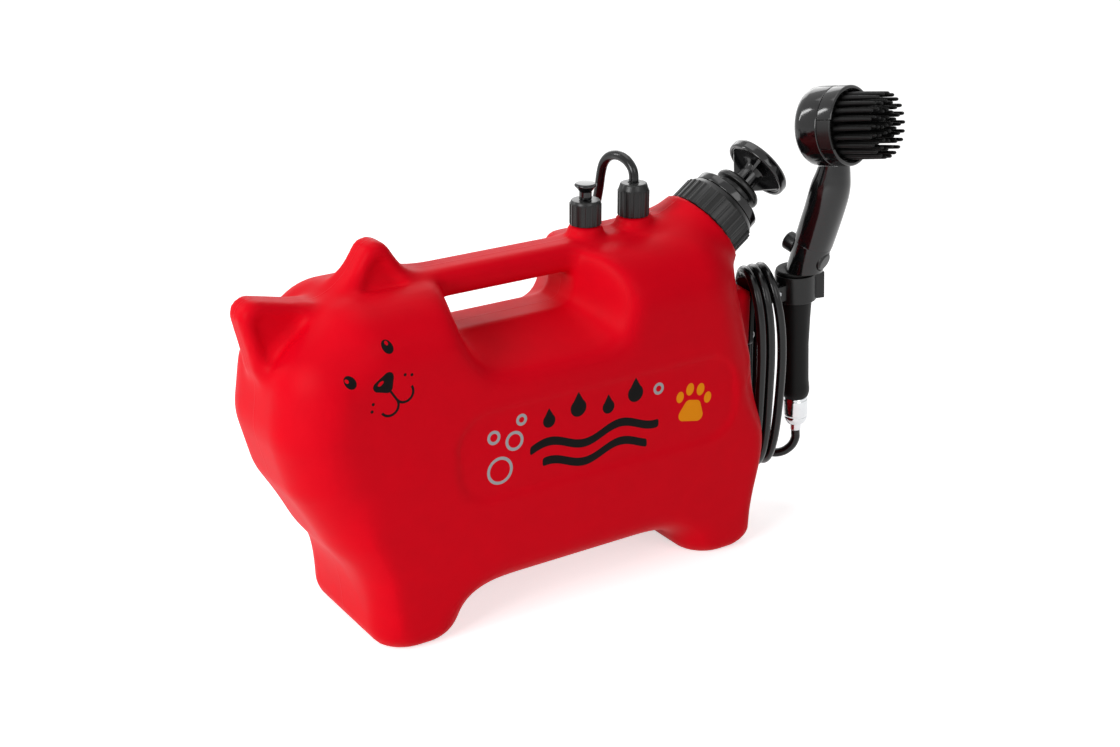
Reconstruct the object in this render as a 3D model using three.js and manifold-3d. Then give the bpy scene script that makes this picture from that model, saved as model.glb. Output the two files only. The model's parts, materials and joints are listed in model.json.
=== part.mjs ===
// A portable pet shower: a blow-moulded water tank in the shape of a plump animal, with a hand air pump in its
// neck, a pull-up relief valve, and one hose that runs from its outlet through a hanging coil to a handset with
// a brush head, which stands in a clip behind the tank.
// Millimetres, +Z up. The origin is on the front foot's flat sole. The head is towards -X, the pump
// towards +X, and the tank is alike on both sides of the plane y = 0.
import * as THREE from 'three';
import { mergeVertices } from 'three/addons/utils/BufferGeometryUtils.js';
import Module from 'manifold-3d';

const wasm = await Module();
wasm.setup();

// Clearances that the whole object shares
const GAP = 0.3; // between two pieces that touch
const OVERRUN = 5; // how far a cutter runs past what it cuts
const MERGE = 0.0005; // points closer than this are one

// How finely round shapes are stepped
const OUTLINE_TURN = Math.PI / 9;
const RIM_STEPS = 3;
const FINE = { turn: OUTLINE_TURN, rim: RIM_STEPS };
const COARSE = { turn: 2 * OUTLINE_TURN, rim: 2 }; // for the tank's hollow
const ROUND_SIDES = 24;
const SMALL_SIDES = 12;
const PIN_SIDES = 5;
const CORNER_STEPS = 3;

// Tank
const WALL = 3;
const BODY_FRONT = -84.5;
const BODY_REAR = 302.5;
const BODY_LOW = 38;
const BODY_TOP = 246;
const BODY_ROUND = 44; // corner radius of the body seen from the side
const HALF_WIDTH = 64;
const FLANK_ROUND = 42; // rounding from each flank into the outline
// The body's corners, as shares of the room between the centres of its corner rounds
const BODY_CORNER_SHARES = [
  [0.932, 1], [0.08, 1], [0.012, 0.88], [0, 0.69], [0.022, 0.475], [0.092, 0.189],
  [0.199, 0], [1, 0], [1, 0.1], [0.988, 0.495],
];
const BELLY_LOW = 29;
const BELLY_TOP = 130;
const BELLY_ROUND = 24;
const LEG_LENGTH = 61;
const LEG_HALF_WIDTH = 64;
const LEG_ROUND = 24;
const LEG_TOP = 96;
const SOLE_ROUND = 9;
const FRONT_LEG_X = 4;
const REAR_LEG_X = 262;
const RIDGE_FRONT = -20;
const RIDGE_REAR = 236;
const RIDGE_TOP = 249;
const BAR_HALF_WIDTH = 16.5;
const BAR_LOW = 229;
const BAR_ROUND = 8;
const HOLE_FRONT = 55;
const HOLE_REAR = 147;
const SADDLE_TOP = 206;
const HOLE_ROUND = 9;
// The hollow beside the grip bar, as seen from the side: at the bar, and out at the flank
const SCOOP_TOP = 272;
const SCOOP_BAR_FRONT = 53;
const SCOOP_BAR_REAR = 153;
const SCOOP_BAR_LEAN = 18;
const SCOOP_FLANK_FRONT = 53;
const SCOOP_FLANK_REAR = 173;
const SCOOP_FLANK_LOW = 184;
const SCOOP_FLANK_LEAN = 40;
const SCOOP_REAR_LEAN = 6;
const SCOOP_ROUND = 24;
const PANEL_FRONT = 32;
const PANEL_REAR = 265;
const PANEL_LOW = 98;
const PANEL_HIGH = 162;
const PANEL_ROUND = 25;
const PANEL_DEPTH = 1.2;
const EAR_HEIGHT = 26;
const EAR_ROUND = 11;
const EAR_HALF_SPAN = 17;
const EAR_ROOT = 12;
const EAR_HALF_THICKNESS = 13;
const EAR_RIM_ROUND = 7;
const EAR_DISH = 3.5;
const EAR_DISH_SHARE = 0.62;
const REAR_EAR = { x: 5, z: RIDGE_TOP, turn: 0 };
const FRONT_EAR = { x: -71, z: 229, turn: Math.PI / 4 };

// The two caps on the tank's back stand on alike bosses and spigots
const BOSS_TOP = 257;
const BOSS_RADIUS = 12.4;
const SPIGOT_RADIUS = 8.2;
const SPIGOT_TOP = 268;
const SPIGOT_BORE = 5.6;
const CAP_RADIUS = 11.6;
const CAP_TOP_RADIUS = 10.6;
const CAP_CHAMFER = 2;
const CAP_RIBS = 16;
const RIB_DEPTH = 0.9;

// Relief valve
const RELIEF_X = 174.3;
const RELIEF_CAP_TOP = 275;
const VALVE_FLANGE = 2.3;
const VALVE_BOTTOM = 246;
const VALVE_TUBE_BORE = 3.8;
const VALVE_SEAT = 2;
const SEAL_THICKNESS = 2.3;
const SEAL_RADIUS = 3.4;
const KNOB_PIN = 1.5;
const KNOB_STEM = 4.5;
const KNOB_TOP = 287;
const KNOB_RADIUS = 7.9;
const KNOB_DISC = 3;
const KNOB_SHOULDER = 1.1;
const SPRING_WIRE = 0.45;
const SPRING_RADIUS = 2.75;
const SPRING_CURLS = 7;
const CURL_STEPS = 6;
const WIRE_SIDES = 4;

// Hose outlet
const OUTLET_X = 215.5;
const OUTLET_CAP_TOP = 281;
const WASHER = 1.5;
const BARB_FLANGE = 2;
const BARB_TUBE = 3.4;
const BARB_BORE = 1.8;
const BARB_BOTTOM = 240;
const DIP_RADIUS = 3;
const DIP_BORE = 2;
const DIP_STEPS = 14;
const DIP_ROUTE = [
  [215.5, 0, 239.7], [215.5, 0, 233], [219, 14, 222], [223, 30, 200], [225, 36, 160],
  [233, 28, 100], [244, 8, 55], [247, 0, 34], [247, 0, 24], [247, 0, 14],
];
const STRAINER_RADIUS = 6;
const STRAINER_LOW = 8;
const STRAINER_HIGH = 22;

// Pump, along its own axis: 0 is the foot of the collar nut
const PUMP_X = 278;
const PUMP_Z = 238;
const PUMP_TILT = (54 * Math.PI) / 180; // from upright, towards +X
const NECK_RADIUS = 32.6;
const NECK_FLARE = 46;
const NECK_ROOT = -46;
const NECK_BAND = 12;
const FINISH_RADIUS = 26.7;
const FINISH_HEIGHT = 15;
const NECK_BORE = 21.5;
const GASKET = 2;
const FLANGE = 3;
const COLLAR_RADIUS = 31;
const COLLAR_TOP_RADIUS = 27.6;
const COLLAR_HEIGHT = 23;
const COLLAR_CHAMFER = 4.5;
const COLLAR_RIBS = 26;
const COLLAR_RIB_DEPTH = 1.2;
const CYLINDER_RADIUS = 20;
const CYLINDER_BORE = 17.5;
const CYLINDER_FOOT = -165;
const HEAD_RING_RADIUS = 27;
const HEAD_RING = 7.2;
const CYLINDER_INTO_HEAD = 3;
const GLAND_NECK_RADIUS = 14;
const GLAND_NECK = 6.7;
const GLAND_RADIUS = 18.5;
const GLAND_DISC = 5.5;
const ROD_RADIUS = 5;
const ROD_SEAL_RADIUS = 7.6;
const ROD_SEAL = 2;
const HANDLE_RADIUS = 25.5;
const HANDLE_TOP = 68.5;
const HANDLE_RIM = 9;
const HANDLE_HUB = 8.2;
const HANDLE_WEB_TOP = 61.5;
const HANDLE_SOCKET = 9;
const HANDLE_RIM_WALL = 2.6;
const HANDLE_DROP = 1; // from the hub's foot to the gland at rest
const HANDLE_WEBS = 4;
const WEB_WIDTH = 2.4;
const PISTON_LOW = -150;
const PISTON_HEIGHT = 10;
const PISTON_RADIUS = 17;
const PISTON_GROOVE = 15.2;
const PISTON_RING_RADIUS = 17.2;
const PISTON_RING = 2.4;
const PISTON_FLOOR = 4.3;
const FOOT_PLUG = 5;
const FOOT_BORE = 3;
const FLAP_RADIUS = 10;
const FLAP_THICKNESS = 1.7;
const AIR_HOLES = 4;
const AIR_HOLE = 1.4;
const AIR_HOLE_RING = 6.5;

// Rear bracket and handset clip
const PAD_FACE = 300;
const PAD_DEPTH = 22;
const PAD_Y = -18;
const PAD_HALF_WIDTH = 17;
const PAD_LOW = 148;
const PAD_HIGH = 194;
const PAD_ROUND = 5;
const PLATE = 3.2;
const PLATE_INSET = 1;
const SCREW_RADIUS = 1.7;
const SCREW_HEAD = 3.2;
const SCREW_HEAD_HEIGHT = 2;
const SCREW_LENGTH = 12;
const SCREW_BOSS = 5;
const SCREW_EDGE_Y = 4.3;
const SCREW_EDGE_Z = 9;
const ARM_THICKNESS = 6;
const ARM_LOW = 176;
const ARM_HIGH = 192;
const ARM_BACK_OFF = 2.6; // from the clip's ring to the arm's end
const SADDLE_FRONT = 300.5;
const SADDLE_REAR = 322;
const SADDLE_HALF_WIDTH = 8;
const SADDLE_CROWN = 2.8;
const SADDLE_CLEARANCE = 0.9; // under the loops, whose flat-sided tube sags a little between its rings
const SADDLE_FOOT = 190;
const CLIP_LOW = 173.5;
const CLIP_HIGH = 194.5;
const CLIP_WALL = 3;
const CLIP_MOUTH = (40 * Math.PI) / 180; // half the open angle, towards +X
const LIP_LENGTH = 8;
const LIP_FLARE = 3;
const FORK_LENGTH = 8;
const FORK_WALL = 3;
const FORK_LOW = 176.5;
const FORK_HIGH = 188.5;
const CLIP_STEPS = 20;
const CLIP_SCREW_RADIUS = 1.6;
const CLIP_SCREW_HEAD = 3;
const CLIP_SCREW_HEAD_HEIGHT = 1.8;
const CLIP_NUT_HEIGHT = 2.4;

// Handset: it stands on the axis of the clip, and faces the way its brush points
const GRIP_OUT = 51; // from the tank's pad to the grip's axis, at the height of the clip's screw
const GRIP_X = PAD_FACE + GRIP_OUT;
const CLIP_TILT = (-3.7 * Math.PI) / 180; // the clip and the handset lean with the tank's sloping rear
const GRIP_Y = -24;
const FACING = (-74 * Math.PI) / 180;
const FERRULE_LOW = 62.5;
const FERRULE_RADIUS = 4.4;
const FERRULE_FLANGE = 1.4;
const NUT_LOW = 69;
const NUT_HIGH = 91;
const NUT_RADIUS = 9.6;
const NUT_FOOT_RADIUS = 7.6;
const NUT_WALL_TOP = 3;
const TUBE_RADIUS = 6.4;
const TUBE_BORE = 4.2;
const TUBE_LOW = 75;
const TUBE_HIGH = 179.5;
const SLEEVE_END_RADIUS = 9.6;
const SLEEVE_LIP_RADIUS = 10.8;
const SLEEVE_WAIST_RADIUS = 10.2;
const GRIP_RADIUS = 12.5;
const SLEEVE_RIM_RADIUS = 15;
const SLEEVE_RIM = 3;
const BEND_Z = 198.5;
const BEND_OUT = 8;
const LEAN = (19.5 * Math.PI) / 180;
const VALVE_BODY_RADIUS = 13.4;
const VALVE_BODY_TOP_RADIUS = 14.2;
const VALVE_BODY_HEIGHT = 25;
const VALVE_BODY_ROOT = 8;
const WATERWAY = 2.5;
const SPOOL_HEIGHT = 14.5;
const SPOOL_RADIUS = 4.5;
const SPOOL_SEAL = 1.3;
const SPOOL_GROOVE = -3;
const SPOOL_TIP = 2.5;
const SPOOL_TIP_LENGTH = 6;
const BUTTON_RADIUS = 7.2;
const BACK_BUTTON_OUT = 8.5;
const FRONT_BUTTON_OUT = 1;
const BUTTON_TRAVEL = 7;
const BUTTON_POCKET = 9;
// Rings of the handset's neck above the valve: [x, z, lean in degrees, half depth, half width]
const NECK_PLAN = [
  [25.3, 248.5, 19.5, 14.4, 14.4], [29.2, 261.5, 15, 14.4, 14.8], [31.2, 270, 10, 13.8, 14.6],
  [32.6, 277, 6, 12.4, 13.6], [33.6, 284, 3, 11, 12.4], [33.9, 294, 0, 9.5, 11.6],
];
const NECK_SIDES = 18;
const NECK_WALL = 2.6;
const HEAD_OUT = 33.8;
const HEAD_Z = 313.6;
const HEAD_TILT = (9 * Math.PI) / 180;
const HEAD_RADIUS = 28.8;
const HEAD_BACK = 18.5;
const HEAD_BACK_ROUND = 9;
const HEAD_SPLIT = 3;
const HEAD_WALL = 2.4;
const RING_FRONT = 15;
const LATCH_HALF_WIDTH = 10.5;
const LATCH_THICKNESS = 2;
const LATCH_TRAVEL = 1.5;
const LATCH_SPRING = 0.5;
const LATCH_SPRING_HALF = 8;
const LATCH_SPRING_BOW = 1.1;
const RING_LEDGE = 21;
const SPRAY_LOW = 6;
const SPRAY_HIGH = 8.5;
const SPRAY_HOLES = 12;
const SPRAY_HOLE = 1.2;
const SPRAY_HOLE_RING = 17;
const BRUSH_PLATE = 2.5;
const PIN_LENGTH = 33;
const PIN_ROOT = 2.1;
const PIN_TIP = 1.25;
const BRUSH_HOLES = 8;
const BRUSH_HOLE = 0.9;
const BRUSH_HOLE_SHARE = 0.63;
const PIN_RINGS = [22, 16, 11, 6]; // pins in each ring, from the outside in

// Hose
const HOSE_DIAMETER = 7;
const HOSE_SIDES = 7;
const COIL_SIDES = 6;
const COIL_STEPS = 24; // in each loop
const COIL_PITCH = 7.9;
const COIL_X = 295; // of the first loop, where it passes nearest the viewer
const COIL_TOP = 205;
const COIL_LOW = 49;
const COIL_HALF_WIDTH = 26;
const COIL_SHOULDER = 0.5; // how much fuller the loops are than an ellipse at their top and foot
const COIL_SLANT = 0.35; // how far the loops lean round the tank's corner, per millimetre across
const COIL_TOP_LEAN = 8; // how far the loops' tops lean towards the tank
const COIL_SPREAD = 8; // how far the last loop stands off on its near side
const COIL_START = (-20 * Math.PI) / 180;
const COIL_END = 6 * Math.PI + (30 * Math.PI) / 180;
const LEAD_STEPS = 36;
const TAIL_STEPS = 14;
// The hose from the outlet over the far shoulder towards the coil, and from the coil's end to the handset
const LEAD_ROUTE = [
  [215.5, 0, 281.4], [215.5, 0, 286], [215.3, 1.5, 290.5], [214.6, 6.5, 295], [213.6, 13, 297.2],
  [212.8, 20, 297], [212, 27, 294], [211.4, 32, 288.5], [211, 34.5, 281], [211, 37, 269],
  [212, 42, 256], [214.5, 49, 247], [219, 58, 236.5], [227, 66, 223], [238, 70, 210],
  [252, 70.5, 200.5], [266, 67.5, 195], [279, 61.5, 193], [289, 53, 191.5], [297.5, 42, 189],
  [303.5, 30.5, 186.5], [307, 17.6, 184], [308.5, 9.6, 181.5], [309.6, 3.9, 176.3],
];
const TAIL_ROUTE = [
  [336.6, 0, 66], [336.6, -0.5, 57.5], [337.9, -2.2, 50], [341.7, -6.5, 44], [347.2, -12.3, 41.8],
  [352.8, -18.1, 44], [357.4, -22.4, 50],
];

const finish = (color, roughness, metalness) =>
  new THREE.MeshStandardMaterial({ color, roughness, metalness });
const RED_PLASTIC = finish(0xc40a18, 0.38, 0);
const BLACK_PLASTIC = finish(0x141414, 0.42, 0);
const GLOSS_BLACK = finish(0x0c0c0d, 0.18, 0);
const RUBBER = finish(0x101010, 0.75, 0);
const HOSE_RUBBER = finish(0x121214, 0.35, 0);
const CHROME = finish(0xd8dadc, 0.12, 1);
const STEEL = finish(0xb4b6b8, 0.3, 1);
const CLEAR_GREY = finish(0x9a9c9e, 0.4, 0);

// A geometry as one closed body that faces out: shared points merged, collapsed faces left out.
function closed(geometry) {
  const bare = new THREE.BufferGeometry();
  bare.setAttribute('position', geometry.getAttribute('position').clone());
  if (geometry.index) bare.setIndex(geometry.index.clone());
  const merged = mergeVertices(bare, MERGE);
  const at = merged.getAttribute('position');
  const faces = [];
  let volume = 0;
  for (let i = 0; i < merged.index.count; i += 3) {
    const [a, b, c] = [0, 1, 2].map((k) => merged.index.getX(i + k));
    if (a === b || b === c || c === a) continue;
    faces.push([a, b, c]);
    const [p, q, r] = [a, b, c].map((k) => new THREE.Vector3().fromBufferAttribute(at, k));
    volume += p.dot(q.cross(r));
  }
  merged.setIndex(faces.flatMap(([a, b, c]) => (volume > 0 ? [a, b, c] : [a, c, b])));
  return merged;
}

// A geometry as a solid that can be joined and cut, and back again.
function solid(geometry) {
  const body = closed(geometry);
  const vertProperties = new Float32Array(body.getAttribute('position').array);
  const triVerts = new Uint32Array(body.index.array);
  return new wasm.Manifold(new wasm.Mesh({ numProp: 3, vertProperties, triVerts }));
}

function shapeOf(manifold) {
  const mesh = manifold.getMesh();
  const geometry = new THREE.BufferGeometry();
  geometry.setAttribute('position', new THREE.BufferAttribute(mesh.vertProperties, 3));
  geometry.setIndex(new THREE.BufferAttribute(mesh.triVerts, 1));
  return geometry;
}

const joined = (first, ...others) => others.reduce((whole, part) => whole.add(solid(part)), solid(first));
const cut = (whole, ...tools) => tools.reduce((left, tool) => left.subtract(solid(tool)), whole);

// The outline that runs a radius outside a ring of corners: straight sides between round corners.
function softOutline(corners, radius, turn = OUTLINE_TURN) {
  const area = corners.reduce((sum, [u, v], i) => {
    const [nextU, nextV] = corners[(i + 1) % corners.length];
    return sum + u * nextV - nextU * v;
  }, 0);
  const ring = area > 0 ? corners : [...corners].reverse();
  return ring.flatMap(([u, v], i) => {
    const [beforeU, beforeV] = ring[(i + ring.length - 1) % ring.length];
    const [afterU, afterV] = ring[(i + 1) % ring.length];
    const start = Math.atan2(v - beforeV, u - beforeU) - Math.PI / 2;
    const end = Math.atan2(afterV - v, afterU - u) - Math.PI / 2;
    const sweep = (end - start + 4 * Math.PI) % (2 * Math.PI);
    const steps = Math.max(1, Math.round(sweep / turn));
    return Array.from({ length: steps + 1 }, (_, k) => {
      const angle = start + (sweep * k) / steps;
      return [u + radius * Math.cos(angle), v + radius * Math.sin(angle)];
    });
  });
}

// Rings of points, all of one length, joined into a closed body with a flat fan at each end.
function stack(rings) {
  const count = rings[0].length;
  const middle = (ring) => ring.reduce((sum, p) => sum.add(p), new THREE.Vector3()).divideScalar(count);
  const points = [...rings.flat(), middle(rings[0]), middle(rings.at(-1))];
  const top = (rings.length - 1) * count;
  const index = [];
  for (let i = 0; i < count; i += 1) {
    const next = (i + 1) % count;
    for (let ring = 0; ring < top; ring += count) {
      index.push(ring + i, ring + next, ring + count + next);
      index.push(ring + i, ring + count + next, ring + count + i);
    }
    index.push(top + count, next, i);
    index.push(top + count + 1, top + i, top + next);
  }
  return new THREE.BufferGeometry().setFromPoints(points).setIndex(index);
}

// How an outline's u and v, and the height between its two faces, lie in space
const ALONG_Y = (u, v, height) => new THREE.Vector3(u, height, v);
const ALONG_Z = (u, v, height) => new THREE.Vector3(u, v, height);
const ALONG_X = (u, v, height) => new THREE.Vector3(height, u, v);

// A body between two flat faces with a soft outline, its two rims rounded like a pebble's.
function pebble({ corners, radius, low, high, lowRound = 0, highRound = 0, lie, fineness = FINE }) {
  const steps = (round) => (round > 0 ? fineness.rim : 0);
  const layers = [];
  for (let k = 0; k <= steps(lowRound); k += 1) {
    const angle = lowRound > 0 ? ((k / fineness.rim) * Math.PI) / 2 : Math.PI / 2;
    layers.push([lowRound * (1 - Math.sin(angle)), low + lowRound * (1 - Math.cos(angle))]);
  }
  for (let k = steps(highRound); k >= 0; k -= 1) {
    const angle = highRound > 0 ? ((k / fineness.rim) * Math.PI) / 2 : Math.PI / 2;
    layers.push([highRound * (1 - Math.sin(angle)), high - highRound * (1 - Math.cos(angle))]);
  }
  return stack(layers.map(([inset, height]) =>
    softOutline(corners, radius - inset, fineness.turn).map(([u, v]) => lie(u, v, height))));
}

// The four corner centres of a rounded rectangle.
const rectangle = (lowU, highU, lowV, highV, radius) => [
  [lowU + radius, lowV + radius], [highU - radius, lowV + radius],
  [highU - radius, highV - radius], [lowU + radius, highV - radius],
];

// A turned body about +Z from [radius, height] points: it starts and ends on the axis, or closes on itself.
function turned(profile, sides = ROUND_SIDES) {
  const onAxis = profile[0][0] === 0 && profile.at(-1)[0] === 0;
  const points = [...profile, ...(onAxis ? [] : [profile[0]])].map(([r, z]) => new THREE.Vector2(r, z));
  return new THREE.LatheGeometry(points, sides).rotateX(Math.PI / 2);
}

const rod = (radius, low, high, sides = SMALL_SIDES) =>
  turned([[0, low], [radius, low], [radius, high], [0, high]], sides);
const pipe = (outer, inner, low, high, sides = ROUND_SIDES) =>
  turned([[inner, low], [outer, low], [outer, high], [inner, high]], sides);
const block = (x, y, z, low) => new THREE.BoxGeometry(x, y, z).translate(...low.map((c, i) => c + [x, y, z][i] / 2));

// A nut's outside: ribs all round it, on rings given as [radius, height].
function ribbedNut(rings, ribs, depth) {
  return stack(rings.map(([radius, height]) =>
    Array.from({ length: ribs * 4 }, (_, k) => {
      const angle = ((k + 0.5) / (ribs * 4)) * 2 * Math.PI;
      const reach = radius - (k % 4 < 2 ? 0 : depth);
      return new THREE.Vector3(reach * Math.cos(angle), reach * Math.sin(angle), height);
    })));
}

// A tube of a few flat sides along a smooth curve through points.
function tube(points, radius, sides, steps, bore = 0) {
  const path = new THREE.CatmullRomCurve3(points, false, 'centripetal');
  path.arcLengthDivisions = steps * 20;
  const round = (r) => Array.from({ length: sides }, (_, k) => {
    const angle = (k / sides) * 2 * Math.PI;
    return new THREE.Vector2(r * Math.cos(angle), r * Math.sin(angle));
  });
  const section = new THREE.Shape(round(radius));
  if (bore > 0) section.holes.push(new THREE.Path(round(bore)));
  return new THREE.ExtrudeGeometry(section, { steps, extrudePath: path, bevelEnabled: false });
}

// A flat plate with an outline in X and Y, from one height to another.
function prism(outline, low, high) {
  const section = new THREE.Shape(outline.map(([x, y]) => new THREE.Vector2(x, y)));
  return new THREE.ExtrudeGeometry(section, { depth: high - low, bevelEnabled: false }).translate(0, 0, low);
}

function mesh(name, geometry, material, group) {
  const piece = new THREE.Mesh(geometry, material);
  piece.name = name;
  group.add(piece);
  return piece;
}

// Where the pump and the two parts of the handset stand
const pumpGroup = new THREE.Group();
pumpGroup.position.set(PUMP_X, 0, PUMP_Z);
pumpGroup.rotation.y = PUMP_TILT;
pumpGroup.updateMatrix();

const reliefGroup = new THREE.Group();
reliefGroup.position.x = RELIEF_X;

const outletGroup = new THREE.Group();
outletGroup.position.x = OUTLET_X;

// The clip's screw, on which the clip and the handset in it lean
const armEnd = GRIP_X - GRIP_RADIUS - GAP - CLIP_WALL - ARM_BACK_OFF;
const clipPinX = armEnd - FORK_LENGTH / 2;
const clipPinZ = (ARM_LOW + ARM_HIGH) / 2;
const clipGroup = new THREE.Group();
clipGroup.position.set(clipPinX, GRIP_Y, clipPinZ);
clipGroup.rotation.y = CLIP_TILT;
clipGroup.updateMatrix();

const handsetGroup = new THREE.Group();
handsetGroup.position.set(GRIP_X - clipPinX, 0, -clipPinZ);
handsetGroup.rotation.z = FACING;
handsetGroup.updateMatrix();

const leanGroup = new THREE.Group();
leanGroup.position.set(BEND_OUT, 0, BEND_Z);
leanGroup.rotation.y = LEAN;
leanGroup.updateMatrix();

const headGroup = new THREE.Group();
headGroup.position.set(HEAD_OUT, 0, HEAD_Z);
headGroup.rotation.y = Math.PI / 2 - HEAD_TILT;
headGroup.updateMatrix();
handsetGroup.add(leanGroup, headGroup);
clipGroup.add(handsetGroup);

const shower = new THREE.Group();
shower.add(pumpGroup, reliefGroup, outletGroup, clipGroup);

// Tank. Each form is made twice, once as its outside and once smaller by the wall as its hollow.
function bodyForm(wall) {
  const length = BODY_REAR - BODY_FRONT - 2 * BODY_ROUND;
  const height = BODY_TOP - BODY_LOW - 2 * BODY_ROUND;
  return pebble({
    corners: BODY_CORNER_SHARES.map(([u, v]) =>
      [BODY_FRONT + BODY_ROUND + u * length, BODY_LOW + BODY_ROUND + v * height]),
    radius: BODY_ROUND - wall,
    low: -HALF_WIDTH + wall,
    high: HALF_WIDTH - wall,
    lowRound: FLANK_ROUND - wall,
    highRound: FLANK_ROUND - wall,
    lie: ALONG_Y,
    fineness: wall > 0 ? COARSE : FINE,
  });
}

// The trough between the legs, whose ends lie inside them
function bellyForm(wall) {
  return pebble({
    corners: rectangle(-HALF_WIDTH, HALF_WIDTH, BELLY_LOW, BELLY_TOP, BELLY_ROUND),
    radius: BELLY_ROUND - wall,
    low: FRONT_LEG_X,
    high: REAR_LEG_X,
    lie: ALONG_X,
    fineness: wall > 0 ? COARSE : FINE,
  });
}

function legForm(x, wall) {
  return pebble({
    corners: rectangle(x - LEG_LENGTH / 2, x + LEG_LENGTH / 2, -LEG_HALF_WIDTH, LEG_HALF_WIDTH, LEG_ROUND),
    radius: LEG_ROUND - wall,
    low: wall,
    high: LEG_TOP - wall,
    lowRound: SOLE_ROUND - wall,
    lie: ALONG_Z,
    fineness: wall > 0 ? COARSE : FINE,
  });
}

// The ridge along the tank's back, whose open stretch is the grip bar
function ridgeForm(wall) {
  return pebble({
    corners: rectangle(-BAR_HALF_WIDTH, BAR_HALF_WIDTH, BAR_LOW, RIDGE_TOP, BAR_ROUND),
    radius: BAR_ROUND - wall,
    low: RIDGE_FRONT + wall,
    high: RIDGE_REAR - wall,
    lie: ALONG_X,
    fineness: wall > 0 ? COARSE : FINE,
  });
}

function earForm(place, thickness, share, round) {
  const apex = (EAR_HEIGHT - EAR_ROUND) * share;
  return pebble({
    corners: [[-EAR_HALF_SPAN * share, -EAR_ROOT * share], [EAR_HALF_SPAN * share, -EAR_ROOT * share], [0, apex]],
    radius: EAR_ROUND * round,
    low: thickness[0],
    high: thickness[1],
    lowRound: thickness[2],
    highRound: thickness[3],
    lie: ALONG_Y,
  }).rotateY(-place.turn).translate(place.x, 0, place.z);
}

function neckForm() {
  return turned([
    [0, NECK_ROOT], [NECK_FLARE, NECK_ROOT],
    [NECK_FLARE - (NECK_FLARE - NECK_RADIUS) * 0.3, NECK_ROOT * 0.78],
    [NECK_FLARE - (NECK_FLARE - NECK_RADIUS) * 0.75, NECK_ROOT * 0.5],
    [NECK_RADIUS + 0.8, -NECK_BAND], [NECK_RADIUS, -2 * GAP - 1], [NECK_RADIUS - 1, -2 * GAP],
    [FINISH_RADIUS, -2 * GAP], [FINISH_RADIUS, FINISH_HEIGHT], [0, FINISH_HEIGHT],
  ]).applyMatrix4(pumpGroup.matrix);
}

// The hollow beside the bar, on the side given by +1 or -1. A wall makes it larger all round.
function scoopForm(side, wall) {
  const ring = (front, rear, low, frontLean, y) => {
    const corners = [
      [front - frontLean - wall, SCOOP_TOP + wall], [front - wall, low - wall],
      [rear + wall, low - wall], [rear + SCOOP_REAR_LEAN + wall, SCOOP_TOP + wall],
    ];
    const points = [corners[0]];
    [1, 2].forEach((i) => {
      const towards = (from, to) => {
        const span = Math.hypot(to[0] - from[0], to[1] - from[1]);
        return from.map((c, k) => c + ((to[k] - c) * SCOOP_ROUND) / span);
      };
      const [start, end] = [towards(corners[i], corners[i - 1]), towards(corners[i], corners[i + 1])];
      for (let k = 0; k <= CORNER_STEPS; k += 1) {
        const t = k / CORNER_STEPS;
        points.push([0, 1].map((c) =>
          (1 - t) ** 2 * start[c] + 2 * t * (1 - t) * corners[i][c] + t ** 2 * end[c]));
      }
    });
    points.push(corners[3]);
    return points.map(([x, z]) => new THREE.Vector3(x, side * y, z));
  };
  const bar = ring(SCOOP_BAR_FRONT, SCOOP_BAR_REAR, SADDLE_TOP, SCOOP_BAR_LEAN, BAR_HALF_WIDTH - wall);
  const flank = ring(SCOOP_FLANK_FRONT, SCOOP_FLANK_REAR, SCOOP_FLANK_LOW, SCOOP_FLANK_LEAN, HALF_WIDTH);
  const beyond = OVERRUN / (HALF_WIDTH - BAR_HALF_WIDTH);
  const past = flank.map((p, i) => p.clone().lerp(bar[i], -beyond));
  return stack([bar, past]);
}

function handHole(wall) {
  return pebble({
    corners: rectangle(HOLE_FRONT - wall, HOLE_REAR + wall, SADDLE_TOP - wall, BAR_LOW + wall, HOLE_ROUND + wall),
    radius: HOLE_ROUND + wall,
    low: -HALF_WIDTH - OVERRUN,
    high: HALF_WIDTH + OVERRUN,
    lie: ALONG_Y,
  });
}

function flankPanel(side) {
  const [inner, outer] = [side * (HALF_WIDTH - PANEL_DEPTH), side * (HALF_WIDTH + OVERRUN)];
  return pebble({
    corners: rectangle(PANEL_FRONT, PANEL_REAR, PANEL_LOW, PANEL_HIGH, PANEL_ROUND),
    radius: PANEL_ROUND,
    low: Math.min(inner, outer),
    high: Math.max(inner, outer),
    lie: ALONG_Y,
  });
}

// The bracket's four screws, as [y, z]
const screwPlaces = [-1, 1].flatMap((across) => [
  [PAD_Y + across * (PAD_HALF_WIDTH - SCREW_EDGE_Y), PAD_LOW + SCREW_EDGE_Z],
  [PAD_Y + across * (PAD_HALF_WIDTH - SCREW_EDGE_Y), PAD_HIGH - SCREW_EDGE_Z],
]);
const alongX = (geometry, y, z) => geometry.rotateY(Math.PI / 2).translate(0, y, z);

const bracketPad = pebble({
  corners: rectangle(PAD_Y - PAD_HALF_WIDTH, PAD_Y + PAD_HALF_WIDTH, PAD_LOW, PAD_HIGH, PAD_ROUND),
  radius: PAD_ROUND,
  low: PAD_FACE - PAD_DEPTH,
  high: PAD_FACE,
  lie: ALONG_X,
});
const capBosses = [RELIEF_X, OUTLET_X].map((x) => turned([
  [0, RIDGE_TOP - 2 * WALL], [BOSS_RADIUS, RIDGE_TOP - 2 * WALL], [BOSS_RADIUS, BOSS_TOP],
  [SPIGOT_RADIUS, BOSS_TOP], [SPIGOT_RADIUS, SPIGOT_TOP], [0, SPIGOT_TOP],
]).translate(x, 0, 0));
const ears = [REAR_EAR, FRONT_EAR];

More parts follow.
